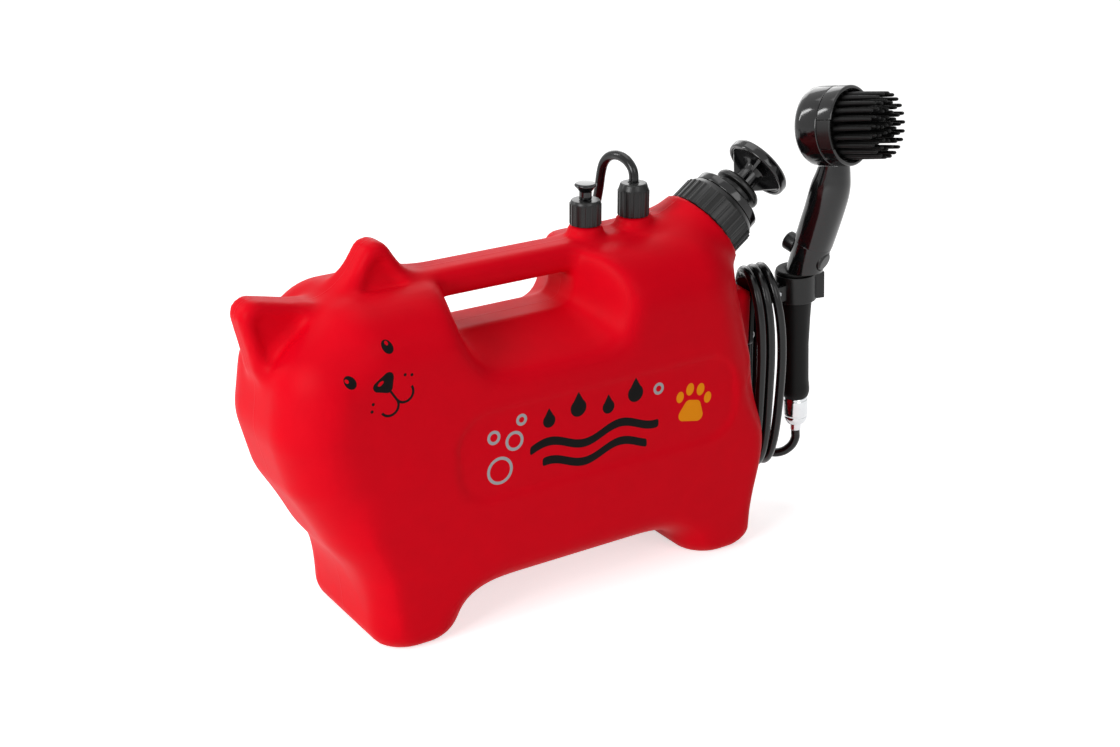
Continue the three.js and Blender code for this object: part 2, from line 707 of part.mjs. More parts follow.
const outside = cut(
  joined(
    bodyForm(0), bellyForm(0), legForm(FRONT_LEG_X, 0), legForm(REAR_LEG_X, 0), ridgeForm(0), neckForm(), bracketPad, ...capBosses,
    ...ears.map((ear) => earForm(
      ear, [-EAR_HALF_THICKNESS, EAR_HALF_THICKNESS, EAR_RIM_ROUND, EAR_RIM_ROUND], 1, 1)),
  ),
  scoopForm(1, 0), scoopForm(-1, 0), handHole(0), flankPanel(1), flankPanel(-1),
  ...ears.flatMap((ear) => [
    earForm(ear, [EAR_HALF_THICKNESS - EAR_DISH, EAR_HALF_THICKNESS + OVERRUN, 0, 0], EAR_DISH_SHARE, EAR_DISH_SHARE),
    earForm(ear, [-EAR_HALF_THICKNESS - OVERRUN, EAR_DISH - EAR_HALF_THICKNESS, 0, 0], EAR_DISH_SHARE, EAR_DISH_SHARE),
  ]),
);
const earHollow = EAR_HALF_THICKNESS - EAR_DISH - WALL;
const hollow = cut(
  joined(
    bodyForm(WALL), bellyForm(WALL), legForm(FRONT_LEG_X, WALL), legForm(REAR_LEG_X, WALL), ridgeForm(WALL),
    ...ears.map((ear) => earForm(ear, [-earHollow, earHollow, 0, 0], 1, 1 - WALL / EAR_ROUND)),
  ),
  scoopForm(1, WALL), scoopForm(-1, WALL), handHole(WALL),
);
const screwBosses = screwPlaces.map(([y, z]) =>
  alongX(rod(SCREW_BOSS, PAD_FACE - SCREW_LENGTH - WALL, PAD_FACE - WALL, SMALL_SIDES / 2), y, z));
const screwHoles = screwPlaces.map(([y, z]) =>
  alongX(rod(SCREW_RADIUS + GAP, PAD_FACE - SCREW_LENGTH, PAD_FACE + OVERRUN, SMALL_SIDES / 2), y, z));
const bores = [
  rod(NECK_BORE, NECK_ROOT - OVERRUN, FINISH_HEIGHT + OVERRUN, ROUND_SIDES).applyMatrix4(pumpGroup.matrix),
  ...[RELIEF_X, OUTLET_X].map((x) =>
    rod(SPIGOT_BORE, RIDGE_TOP - 4 * WALL, SPIGOT_TOP + OVERRUN).translate(x, 0, 0)),
];
const emptied = screwBosses.reduce((whole, boss) => whole.add(solid(boss)), outside.subtract(hollow));
mesh('tank_shell', shapeOf(cut(emptied, ...bores, ...screwHoles)), RED_PLASTIC, shower);

// Relief valve: its cap holds the body on a spigot, and the knob's pin hangs through a seal that a spring shuts.
const capSeat = BOSS_TOP + GAP;
const flangeLow = SPIGOT_TOP + GAP;
const flangeTop = flangeLow + VALVE_FLANGE;
const sealLow = VALVE_BOTTOM + VALVE_SEAT + GAP;
const shoulderTop = sealLow + SEAL_THICKNESS + GAP + KNOB_SHOULDER;
mesh('relief_valve_cap', shapeOf(cut(
  solid(ribbedNut(
    [[CAP_RADIUS, capSeat], [CAP_RADIUS, RELIEF_CAP_TOP - CAP_CHAMFER], [CAP_TOP_RADIUS, RELIEF_CAP_TOP]],
    CAP_RIBS, RIB_DEPTH,
  )),
  rod(SPIGOT_RADIUS + GAP, capSeat - OVERRUN, flangeTop + GAP),
  rod(KNOB_PIN + GAP, capSeat, RELIEF_CAP_TOP + OVERRUN, SMALL_SIDES / 2),
)), BLACK_PLASTIC, reliefGroup);
mesh('relief_valve_body', turned([
  [KNOB_PIN + 2 * GAP, VALVE_BOTTOM], [SPIGOT_BORE - GAP, VALVE_BOTTOM], [SPIGOT_BORE - GAP, flangeLow],
  [SPIGOT_RADIUS, flangeLow], [SPIGOT_RADIUS, flangeTop], [VALVE_TUBE_BORE, flangeTop],
  [VALVE_TUBE_BORE, VALVE_BOTTOM + VALVE_SEAT], [KNOB_PIN + 2 * GAP, VALVE_BOTTOM + VALVE_SEAT],
], SMALL_SIDES), BLACK_PLASTIC, reliefGroup);
mesh('relief_seal', pipe(SEAL_RADIUS, KNOB_PIN + GAP, sealLow, sealLow + SEAL_THICKNESS, SMALL_SIDES),
  RUBBER, reliefGroup);
mesh('relief_knob', turned([
  [0, VALVE_BOTTOM + GAP], [KNOB_PIN, VALVE_BOTTOM + GAP], [KNOB_PIN, shoulderTop - KNOB_SHOULDER],
  [SEAL_RADIUS - GAP, shoulderTop - KNOB_SHOULDER], [SEAL_RADIUS - GAP, shoulderTop], [KNOB_PIN, shoulderTop],
  [KNOB_PIN, RELIEF_CAP_TOP + GAP], [KNOB_STEM, RELIEF_CAP_TOP + GAP], [KNOB_STEM, KNOB_TOP - 2 * KNOB_DISC],
  [KNOB_RADIUS - 1, KNOB_TOP - KNOB_DISC], [KNOB_RADIUS, KNOB_TOP - KNOB_DISC + 1],
  [KNOB_RADIUS, KNOB_TOP - 1], [KNOB_RADIUS - 1, KNOB_TOP], [0, KNOB_TOP],
], SMALL_SIDES), GLOSS_BLACK, reliefGroup);
const springLow = shoulderTop + GAP + SPRING_WIRE;
const springHigh = flangeTop - SPRING_WIRE;
const springPoints = Array.from({ length: SPRING_CURLS * CURL_STEPS + 1 }, (_, k) => {
  const angle = (k / CURL_STEPS) * 2 * Math.PI;
  const height = springLow + ((springHigh - springLow) * k) / (SPRING_CURLS * CURL_STEPS);
  return new THREE.Vector3(SPRING_RADIUS * Math.cos(angle), SPRING_RADIUS * Math.sin(angle), height);
});
mesh('relief_spring', tube(springPoints, SPRING_WIRE, WIRE_SIDES, SPRING_CURLS * CURL_STEPS), STEEL, reliefGroup);

// Hose outlet: the cap clamps a barbed fitting, whose tail holds the dip tube inside the tank.
const barbLow = SPIGOT_TOP + GAP + WASHER + GAP;
mesh('outlet_cap_nut', shapeOf(cut(
  solid(ribbedNut([
    [CAP_RADIUS, capSeat], [CAP_RADIUS, OUTLET_CAP_TOP - 2 * CAP_CHAMFER],
    [CAP_TOP_RADIUS - CAP_CHAMFER / 2, OUTLET_CAP_TOP],
  ], CAP_RIBS, RIB_DEPTH)),
  rod(SPIGOT_RADIUS + GAP, capSeat - OVERRUN, barbLow + BARB_FLANGE + GAP),
  rod(BARB_TUBE + GAP, capSeat, OUTLET_CAP_TOP + OVERRUN),
)), BLACK_PLASTIC, outletGroup);
mesh('outlet_gasket', pipe(SPIGOT_RADIUS, SPIGOT_BORE, SPIGOT_TOP + GAP, SPIGOT_TOP + GAP + WASHER, SMALL_SIDES),
  RUBBER, outletGroup);
mesh('outlet_barb', turned([
  [BARB_BORE, BARB_BOTTOM], [SPIGOT_BORE - GAP, BARB_BOTTOM], [SPIGOT_BORE - GAP, barbLow],
  [SPIGOT_RADIUS, barbLow], [SPIGOT_RADIUS, barbLow + BARB_FLANGE], [BARB_TUBE, barbLow + BARB_FLANGE],
  [BARB_TUBE, OUTLET_CAP_TOP], [BARB_BORE, OUTLET_CAP_TOP],
], SMALL_SIDES), BLACK_PLASTIC, outletGroup);
const dipPoints = DIP_ROUTE.map((p) => new THREE.Vector3(...p));
mesh('dip_tube', tube(dipPoints, DIP_RADIUS, COIL_SIDES, DIP_STEPS, DIP_BORE), CLEAR_GREY, shower);
const [dipX, dipY, dipLow] = DIP_ROUTE.at(-1);
mesh('dip_tube_strainer', turned([
  [0, STRAINER_LOW], [STRAINER_RADIUS, STRAINER_LOW], [STRAINER_RADIUS, STRAINER_HIGH],
  [DIP_RADIUS + GAP, STRAINER_HIGH], [DIP_RADIUS + GAP, dipLow - GAP], [0, dipLow - GAP],
], SMALL_SIDES).translate(dipX, dipY, 0), CLEAR_GREY, shower);

// Pump. The collar nut clamps the cylinder's flange on the tank's neck.
const flangeFoot = FINISH_HEIGHT + GAP + GASKET + GAP;
const lipFoot = flangeFoot + FLANGE + GAP;
const headFoot = COLLAR_HEIGHT + GAP;
const cylinderTop = headFoot + CYLINDER_INTO_HEAD - GAP;
const headTop = headFoot + HEAD_RING;
const glandFoot = headTop + GAP;
const glandDisc = glandFoot + GLAND_NECK;
const glandTop = glandDisc + GLAND_DISC;
mesh('neck_gasket', pipe(FINISH_RADIUS - GAP, CYLINDER_RADIUS + GAP, FINISH_HEIGHT + GAP, FINISH_HEIGHT + GAP + GASKET),
  RUBBER, pumpGroup);
mesh('pump_cylinder', turned([
  [CYLINDER_BORE, CYLINDER_FOOT], [CYLINDER_RADIUS, CYLINDER_FOOT], [CYLINDER_RADIUS, flangeFoot],
  [FINISH_RADIUS - GAP, flangeFoot], [FINISH_RADIUS - GAP, flangeFoot + FLANGE],
  [CYLINDER_RADIUS, flangeFoot + FLANGE], [CYLINDER_RADIUS, cylinderTop], [CYLINDER_BORE, cylinderTop],
]), BLACK_PLASTIC, pumpGroup);
mesh('pump_collar_nut', shapeOf(cut(
  solid(ribbedNut([
    [COLLAR_RADIUS, 0], [COLLAR_RADIUS, COLLAR_HEIGHT - COLLAR_CHAMFER], [COLLAR_TOP_RADIUS, COLLAR_HEIGHT],
  ], COLLAR_RIBS, COLLAR_RIB_DEPTH)),
  rod(FINISH_RADIUS + GAP, -OVERRUN, lipFoot, ROUND_SIDES),
  rod(CYLINDER_RADIUS + GAP, 0, COLLAR_HEIGHT + OVERRUN, ROUND_SIDES),
)), BLACK_PLASTIC, pumpGroup);
mesh('pump_head', turned([
  [ROD_RADIUS + 2 * GAP, cylinderTop + GAP], [CYLINDER_RADIUS + GAP, cylinderTop + GAP],
  [CYLINDER_RADIUS + GAP, headFoot], [HEAD_RING_RADIUS, headFoot], [HEAD_RING_RADIUS, headTop - 1],
  [HEAD_RING_RADIUS - 1, headTop], [ROD_RADIUS + 2 * GAP, headTop],
]), BLACK_PLASTIC, pumpGroup);
const sealPocket = glandFoot + GAP + ROD_SEAL + GAP;
mesh('gland_cap', turned([
  [ROD_SEAL_RADIUS + GAP, glandFoot], [GLAND_NECK_RADIUS, glandFoot], [GLAND_NECK_RADIUS, glandDisc],
  [GLAND_RADIUS - 1, glandDisc], [GLAND_RADIUS, glandDisc + 1], [GLAND_RADIUS, glandTop - 2],
  [GLAND_RADIUS - 1.5, glandTop], [ROD_RADIUS + GAP, glandTop], [ROD_RADIUS + GAP, sealPocket],
  [ROD_SEAL_RADIUS + GAP, sealPocket],
]), BLACK_PLASTIC, pumpGroup);
mesh('gland_seal', pipe(ROD_SEAL_RADIUS, ROD_RADIUS + GAP, glandFoot + GAP, glandFoot + GAP + ROD_SEAL, SMALL_SIDES),
  RUBBER, pumpGroup);

// The handle at rest stands just above the gland.
const hubFoot = glandTop + HANDLE_DROP;
const rodTop = hubFoot + HANDLE_SOCKET;
const pistonTop = PISTON_LOW + PISTON_HEIGHT;
const rodFoot = PISTON_LOW + PISTON_FLOOR + GAP;
const web = prism([
  [HANDLE_HUB - 1, hubFoot + 1], [HANDLE_HUB, hubFoot + 1], [HANDLE_RADIUS - HANDLE_RIM_WALL - 1, HANDLE_WEB_TOP],
  [HANDLE_RADIUS - HANDLE_RIM_WALL - 1, HANDLE_WEB_TOP + 2], [HANDLE_HUB - 1, HANDLE_WEB_TOP + 2],
], -WEB_WIDTH / 2, WEB_WIDTH / 2).rotateX(Math.PI / 2);
const webs = Array.from({ length: HANDLE_WEBS }, (_, k) =>
  web.clone().rotateZ(((k + 0.5) / HANDLE_WEBS) * 2 * Math.PI));
const handleDisc = turned([
  [0, rodTop + GAP], [ROD_RADIUS + GAP, rodTop + GAP], [ROD_RADIUS + GAP, hubFoot], [HANDLE_HUB, hubFoot],
  [HANDLE_HUB, HANDLE_WEB_TOP - 7], [HANDLE_HUB + 4.5, HANDLE_WEB_TOP - 1],
  [HANDLE_RADIUS - HANDLE_RIM_WALL, HANDLE_WEB_TOP], [HANDLE_RADIUS - HANDLE_RIM_WALL + 0.5, HANDLE_TOP - HANDLE_RIM],
  [HANDLE_RADIUS - 0.5, HANDLE_TOP - HANDLE_RIM], [HANDLE_RADIUS, HANDLE_TOP - HANDLE_RIM + 1.5],
  [HANDLE_RADIUS, HANDLE_TOP - 2.5], [HANDLE_RADIUS - 1.5, HANDLE_TOP - 0.5], [0, HANDLE_TOP],
]);
mesh('plunger_rod', rod(ROD_RADIUS, rodFoot, rodTop), BLACK_PLASTIC, pumpGroup);
mesh('plunger_handle', shapeOf(joined(handleDisc, ...webs)), BLACK_PLASTIC, pumpGroup);
const grooveLow = PISTON_LOW + PISTON_FLOOR - GAP - 1;
mesh('piston', turned([
  [0, PISTON_LOW], [PISTON_RADIUS, PISTON_LOW], [PISTON_RADIUS, grooveLow], [PISTON_GROOVE, grooveLow],
  [PISTON_GROOVE, grooveLow + PISTON_RING + 2 * GAP], [PISTON_RADIUS, grooveLow + PISTON_RING + 2 * GAP],
  [PISTON_RADIUS, pistonTop], [ROD_RADIUS + GAP, pistonTop], [ROD_RADIUS + GAP, rodFoot - GAP], [0, rodFoot - GAP],
]), BLACK_PLASTIC, pumpGroup);
mesh('piston_ring', pipe(PISTON_RING_RADIUS, PISTON_GROOVE + GAP, grooveLow + GAP, grooveLow + GAP + PISTON_RING),
  RUBBER, pumpGroup);
const seatLow = CYLINDER_FOOT - GAP - FLANGE;
const seatTop = CYLINDER_FOOT + FOOT_PLUG;
mesh('foot_valve_seat', shapeOf(cut(
  solid(turned([
    [FOOT_BORE, seatLow], [CYLINDER_RADIUS, seatLow], [CYLINDER_RADIUS, CYLINDER_FOOT - GAP],
    [CYLINDER_BORE - GAP, CYLINDER_FOOT - GAP], [CYLINDER_BORE - GAP, seatTop], [FOOT_BORE, seatTop],
  ])),
  ...Array.from({ length: AIR_HOLES }, (_, k) => rod(AIR_HOLE, seatLow - OVERRUN, seatTop + OVERRUN, PIN_SIDES)
    .translate(AIR_HOLE_RING, 0, 0).rotateZ((k / AIR_HOLES) * 2 * Math.PI)),
)), BLACK_PLASTIC, pumpGroup);
const flapTop = seatLow - GAP;
mesh('foot_valve_flap', turned([
  [0, flapTop - FLAP_THICKNESS], [FLAP_RADIUS - 1, flapTop - FLAP_THICKNESS], [FLAP_RADIUS, flapTop],
  [FOOT_BORE - GAP, flapTop], [FOOT_BORE - GAP, seatTop + GAP], [FOOT_BORE + 1.2, seatTop + GAP],
  [FOOT_BORE - GAP, seatTop + GAP + 2.2], [0, seatTop + GAP + 2.2],
], SMALL_SIDES), RUBBER, pumpGroup);

// Rear bracket: a plate on the tank's pad, and an arm whose saddle carries the coil.
const plateLow = PAD_FACE + GAP;
const plateTop = plateLow + PLATE;
const alongYAt = (geometry, x, z) => geometry.rotateX(-Math.PI / 2).translate(x, GRIP_Y, z);
const plate = pebble({
  corners: rectangle(
    PAD_Y - PAD_HALF_WIDTH + PLATE_INSET, PAD_Y + PAD_HALF_WIDTH - PLATE_INSET,
    PAD_LOW + PLATE_INSET, PAD_HIGH - PLATE_INSET, PAD_ROUND,
  ),
  radius: PAD_ROUND,
  low: plateLow,
  high: plateTop,
  lie: ALONG_X,
});
const arm = block(armEnd - plateLow - 1, ARM_THICKNESS, ARM_HIGH - ARM_LOW,
  [plateLow + 1, GRIP_Y - ARM_THICKNESS / 2, ARM_LOW]);
const saddleTop = COIL_TOP - HOSE_DIAMETER / 2 - SADDLE_CLEARANCE;
const saddle = stack([SADDLE_FRONT, SADDLE_REAR].map((x) => [
  [-SADDLE_HALF_WIDTH, SADDLE_FOOT], [SADDLE_HALF_WIDTH, SADDLE_FOOT], [SADDLE_HALF_WIDTH, saddleTop - SADDLE_CROWN],
  [SADDLE_HALF_WIDTH / 2, saddleTop - SADDLE_CROWN / 4], [0, saddleTop],
  [-SADDLE_HALF_WIDTH / 2, saddleTop - SADDLE_CROWN / 4], [-SADDLE_HALF_WIDTH, saddleTop - SADDLE_CROWN],
].map(([y, z]) => new THREE.Vector3(x, GRIP_Y + y, z))));
mesh('rear_bracket', shapeOf(cut(
  joined(plate, arm, saddle),
  ...screwPlaces.map(([y, z]) => alongX(rod(SCREW_RADIUS + GAP, PAD_FACE, plateTop + OVERRUN, SMALL_SIDES / 2), y, z)),
  alongYAt(rod(CLIP_SCREW_RADIUS + GAP, -ARM_THICKNESS, ARM_THICKNESS, SMALL_SIDES / 2), clipPinX, clipPinZ),
)), BLACK_PLASTIC, shower);
screwPlaces.forEach(([y, z], i) => {
  const screw = turned([
    [0, PAD_FACE - SCREW_LENGTH + GAP], [SCREW_RADIUS, PAD_FACE - SCREW_LENGTH + GAP],
    [SCREW_RADIUS, plateTop + GAP], [SCREW_HEAD, plateTop + GAP], [SCREW_HEAD, plateTop + GAP + 1],
    [SCREW_HEAD - 1.2, plateTop + GAP + SCREW_HEAD_HEIGHT], [0, plateTop + GAP + SCREW_HEAD_HEIGHT],
  ], SMALL_SIDES / 2);
  mesh(`bracket_screw_${i + 1}`, alongX(screw, y, z), STEEL, shower);
});

// Handset clip: an open ring on a fork that the clip screw holds to the arm.
const clipInner = GRIP_RADIUS + GAP;
const clipOuter = clipInner + CLIP_WALL;
const arc = (radius, from, to, steps) => Array.from({ length: steps + 1 }, (_, k) => {
  const angle = from + ((to - from) * k) / steps;
  return [radius * Math.cos(angle), radius * Math.sin(angle)];
});
const ring = prism([
  ...arc(clipOuter, CLIP_MOUTH, 2 * Math.PI - CLIP_MOUTH, CLIP_STEPS),
  ...arc(clipInner, 2 * Math.PI - CLIP_MOUTH, CLIP_MOUTH, CLIP_STEPS),
], CLIP_LOW, CLIP_HIGH);
const lips = [1, -1].map((side) => {
  const [near, far] = [clipInner, clipOuter].map((r) => [r * Math.cos(CLIP_MOUTH), r * Math.sin(CLIP_MOUTH)]);
  const outline = [
    near, [near[0] + LIP_LENGTH, near[1] + LIP_FLARE], [near[0] + LIP_LENGTH, near[1] + LIP_FLARE + CLIP_WALL],
    far, [far[0] - 2, far[1] + 1],
  ];
  return prism(outline.map(([x, y]) => [x, side * y]), CLIP_LOW, CLIP_HIGH);
});
const forkBack = armEnd - FORK_LENGTH - GRIP_X;
const cheeks = [1, -1].map((side) => {
  const inner = ARM_THICKNESS / 2 + GAP;
  return block(-forkBack - clipInner - 1, FORK_WALL, FORK_HIGH - FORK_LOW,
    [forkBack, side > 0 ? inner : -inner - FORK_WALL, FORK_LOW]);
});
const clipAxis = GRIP_X - clipPinX;
mesh('handset_clip', shapeOf(cut(
  joined(ring, ...lips, ...cheeks).translate([clipAxis, 0, -clipPinZ]),
  rod(clipInner, CLIP_LOW - OVERRUN, CLIP_HIGH + OVERRUN, ROUND_SIDES).translate(clipAxis, 0, -clipPinZ),
  rod(CLIP_SCREW_RADIUS + GAP, -3 * FORK_WALL, 3 * FORK_WALL, SMALL_SIDES / 2).rotateX(Math.PI / 2),
)), BLACK_PLASTIC, clipGroup);
const cheekFace = ARM_THICKNESS / 2 + GAP + FORK_WALL + GAP;
mesh('clip_screw', alongYAt(turned([
  [0, -cheekFace - CLIP_SCREW_HEAD_HEIGHT], [CLIP_SCREW_HEAD - 1, -cheekFace - CLIP_SCREW_HEAD_HEIGHT],
  [CLIP_SCREW_HEAD, -cheekFace - 1], [CLIP_SCREW_HEAD, -cheekFace], [CLIP_SCREW_RADIUS, -cheekFace],
  [CLIP_SCREW_RADIUS, cheekFace + CLIP_NUT_HEIGHT + 1], [0, cheekFace + CLIP_NUT_HEIGHT + 1],
], SMALL_SIDES / 2), clipPinX, clipPinZ), STEEL, shower);
mesh('clip_nut', alongYAt(
  pipe(CLIP_SCREW_HEAD, CLIP_SCREW_RADIUS + GAP, cheekFace, cheekFace + CLIP_NUT_HEIGHT, 6), clipPinX, clipPinZ),
STEEL, shower);

// Handset: the hose's ferrule, the chrome nut, and the grip's tube under its rubber sleeve
const nutShelf = NUT_LOW + NUT_WALL_TOP;
const ferruleTop = nutShelf + GAP + FERRULE_FLANGE;
mesh('hose_ferrule', turned([
  [BARB_BORE, FERRULE_LOW], [FERRULE_RADIUS, FERRULE_LOW], [FERRULE_RADIUS, nutShelf + GAP],
  [TUBE_RADIUS, nutShelf + GAP], [TUBE_RADIUS, ferruleTop], [BARB_BORE, ferruleTop],
], SMALL_SIDES), CHROME, handsetGroup);
mesh('hose_nut', turned([
  [FERRULE_RADIUS + GAP, NUT_LOW], [NUT_FOOT_RADIUS, NUT_LOW], [NUT_RADIUS - 0.7, nutShelf],
  [NUT_RADIUS, nutShelf + 3], [NUT_RADIUS, NUT_HIGH - 1], [NUT_RADIUS - 1, NUT_HIGH],
  [TUBE_RADIUS + GAP, NUT_HIGH], [TUBE_RADIUS + GAP, nutShelf], [FERRULE_RADIUS + GAP, nutShelf],
]), CHROME, handsetGroup);
mesh('nut_washer', pipe(TUBE_RADIUS, BARB_BORE, ferruleTop + GAP, TUBE_LOW - GAP, SMALL_SIDES), RUBBER, handsetGroup);
mesh('grip_tube', pipe(TUBE_RADIUS, TUBE_BORE, TUBE_LOW, TUBE_HIGH, SMALL_SIDES), BLACK_PLASTIC, handsetGroup);
const sleeveFoot = NUT_HIGH + GAP;
const rimLow = CLIP_HIGH + GAP;
const rimTop = rimLow + SLEEVE_RIM;
mesh('grip_sleeve', turned([
  [TUBE_RADIUS + GAP, sleeveFoot], [SLEEVE_END_RADIUS, sleeveFoot], [SLEEVE_LIP_RADIUS, sleeveFoot + 4],
  [SLEEVE_LIP_RADIUS, sleeveFoot + 8], [SLEEVE_WAIST_RADIUS, sleeveFoot + 14], [SLEEVE_WAIST_RADIUS, sleeveFoot + 44],
  [(SLEEVE_WAIST_RADIUS + GRIP_RADIUS) / 2, sleeveFoot + 66], [GRIP_RADIUS, CLIP_LOW - GAP], [GRIP_RADIUS, rimLow],
  [SLEEVE_RIM_RADIUS - 0.6, rimLow], [SLEEVE_RIM_RADIUS, rimLow + 1], [SLEEVE_RIM_RADIUS, rimTop - 1],
  [SLEEVE_RIM_RADIUS - 0.8, rimTop], [TUBE_RADIUS + GAP, rimTop],
], 20), RUBBER, handsetGroup);

// Valve body: it leans forward, is cut flat on the sleeve's rim, and the spool crosses it.
const leaning = (geometry) => geometry.applyMatrix4(leanGroup.matrix);
const across = (geometry) => geometry.rotateY(Math.PI / 2).translate(0, 0, SPOOL_HEIGHT);
const pocketReach = VALVE_BODY_TOP_RADIUS - BUTTON_POCKET;
const leaningBody = cut(
  solid(leaning(turned([
    [0, -VALVE_BODY_ROOT], [VALVE_BODY_RADIUS, -VALVE_BODY_ROOT], [VALVE_BODY_RADIUS, 0],
    [VALVE_BODY_TOP_RADIUS, VALVE_BODY_HEIGHT], [0, VALVE_BODY_HEIGHT],
  ]))),
  block(8 * VALVE_BODY_ROOT, 8 * VALVE_BODY_ROOT, 4 * VALVE_BODY_ROOT,
    [-4 * VALVE_BODY_ROOT, -4 * VALVE_BODY_ROOT, rimTop + GAP - 4 * VALVE_BODY_ROOT]),
);
const stub = rod(TUBE_RADIUS, TUBE_HIGH + GAP, BEND_Z, SMALL_SIDES);
const channel = tube([
  new THREE.Vector3(0, 0, TUBE_HIGH - OVERRUN), new THREE.Vector3(0, 0, BEND_Z - OVERRUN),
  new THREE.Vector3(0, 0, VALVE_BODY_ROOT).applyMatrix4(leanGroup.matrix),
  new THREE.Vector3(0, 0, VALVE_BODY_HEIGHT + OVERRUN).applyMatrix4(leanGroup.matrix),
], WATERWAY, PIN_SIDES, 9);
mesh('valve_body', shapeOf(cut(
  leaningBody.add(solid(stub)), channel,
  leaning(across(rod(SPOOL_RADIUS + GAP, -2 * VALVE_BODY_TOP_RADIUS, 2 * VALVE_BODY_TOP_RADIUS))),
  leaning(across(rod(BUTTON_RADIUS + GAP, -2 * VALVE_BODY_TOP_RADIUS, -pocketReach))),
  leaning(across(rod(BUTTON_RADIUS + GAP, pocketReach, 2 * VALVE_BODY_TOP_RADIUS))),
)), BLACK_PLASTIC, handsetGroup);
const backFace = -VALVE_BODY_RADIUS - BACK_BUTTON_OUT;
const frontFace = VALVE_BODY_RADIUS + FRONT_BUTTON_OUT;
const spoolEnd = pocketReach;
mesh('valve_spool', across(turned([
  [0, backFace], [BUTTON_RADIUS - 1.2, backFace], [BUTTON_RADIUS, backFace + 1.2],
  [BUTTON_RADIUS, -pocketReach - BUTTON_TRAVEL - GAP], [SPOOL_RADIUS, -pocketReach - BUTTON_TRAVEL - GAP],
  [SPOOL_RADIUS, SPOOL_GROOVE - SPOOL_SEAL - 2 * GAP], [SPOOL_RADIUS - SPOOL_SEAL, SPOOL_GROOVE - SPOOL_SEAL - 2 * GAP],
  [SPOOL_RADIUS - SPOOL_SEAL, SPOOL_GROOVE], [SPOOL_RADIUS, SPOOL_GROOVE], [SPOOL_RADIUS, spoolEnd],
  [SPOOL_TIP, spoolEnd], [SPOOL_TIP, spoolEnd + SPOOL_TIP_LENGTH], [0, spoolEnd + SPOOL_TIP_LENGTH],
], SMALL_SIDES)), BLACK_PLASTIC, leanGroup);
mesh('spool_seal', across(pipe(SPOOL_RADIUS, SPOOL_RADIUS - SPOOL_SEAL + GAP, SPOOL_GROOVE - SPOOL_SEAL - GAP,
  SPOOL_GROOVE - GAP, SMALL_SIDES)), RUBBER, leanGroup);
mesh('front_button', across(turned([
  [0, spoolEnd + SPOOL_TIP_LENGTH + GAP], [SPOOL_TIP + GAP, spoolEnd + SPOOL_TIP_LENGTH + GAP],
  [SPOOL_TIP + GAP, spoolEnd + GAP], [BUTTON_RADIUS, spoolEnd + GAP],
  [BUTTON_RADIUS, frontFace - 1.2], [BUTTON_RADIUS - 1.2, frontFace], [0, frontFace],
], SMALL_SIDES)), BLACK_PLASTIC, leanGroup);

// Head: a round box on the neck, with the ring that holds the spray plate and the brush in front of it
const turnedHead = (geometry) => geometry.applyMatrix4(headGroup.matrix);
const headShell = (grow, front) => turned([
  [0, -HEAD_BACK - grow],
  ...Array.from({ length: RIM_STEPS + 1 }, (_, k) => {
    const angle = ((k / RIM_STEPS) * Math.PI) / 2;
    return [
      HEAD_RADIUS - HEAD_BACK_ROUND + (HEAD_BACK_ROUND + grow) * Math.sin(angle),
      HEAD_BACK_ROUND - HEAD_BACK - (HEAD_BACK_ROUND + grow) * Math.cos(angle),
    ];
  }),
  [HEAD_RADIUS + grow, front], [0, front],
]);
const neckRing = ([x, z, tilt, depth, width], wall) => {
  const lean = (tilt * Math.PI) / 180;
  return Array.from({ length: NECK_SIDES }, (_, k) => {
    const angle = (k / NECK_SIDES) * 2 * Math.PI;
    const forward = (depth - wall) * Math.cos(angle);
    return new THREE.Vector3(
      x + forward * Math.cos(lean), (width - wall) * Math.sin(angle), z - forward * Math.sin(lean),
    );
  });
};
const neckBase = new THREE.Vector3(0, 0, VALVE_BODY_HEIGHT + GAP).applyMatrix4(leanGroup.matrix);
const neckFoot = new THREE.Vector3(0, 0, VALVE_BODY_HEIGHT - OVERRUN).applyMatrix4(leanGroup.matrix);
const leanDegrees = (LEAN * 180) / Math.PI;
const neckRings = [
  [neckBase.x, neckBase.z, leanDegrees, VALVE_BODY_TOP_RADIUS, VALVE_BODY_TOP_RADIUS], ...NECK_PLAN,
];
const neckHollow = [
  [neckFoot.x, neckFoot.z, leanDegrees, VALVE_BODY_TOP_RADIUS, VALVE_BODY_TOP_RADIUS], ...NECK_PLAN,
];
const upperNeck = solid(stack(neckRings.map((place) => neckRing(place, 0))))
  .subtract(solid(stack(neckHollow.map((place) => neckRing(place, NECK_WALL)))));
mesh('upper_neck', shapeOf(cut(upperNeck, turnedHead(headShell(GAP, HEAD_SPLIT + OVERRUN)))),
  GLOSS_BLACK, handsetGroup);
mesh('head_back_shell', shapeOf(cut(
  solid(headShell(0, HEAD_SPLIT)).subtract(solid(headShell(-HEAD_WALL, HEAD_SPLIT + OVERRUN))),
  rod(WATERWAY + 2, RING_LEDGE, HEAD_RADIUS + OVERRUN, SMALL_SIDES / 2).rotateY(Math.PI / 2)
    .translate(0, 0, -(HEAD_BACK - HEAD_SPLIT) / 2),
)), GLOSS_BLACK, headGroup);

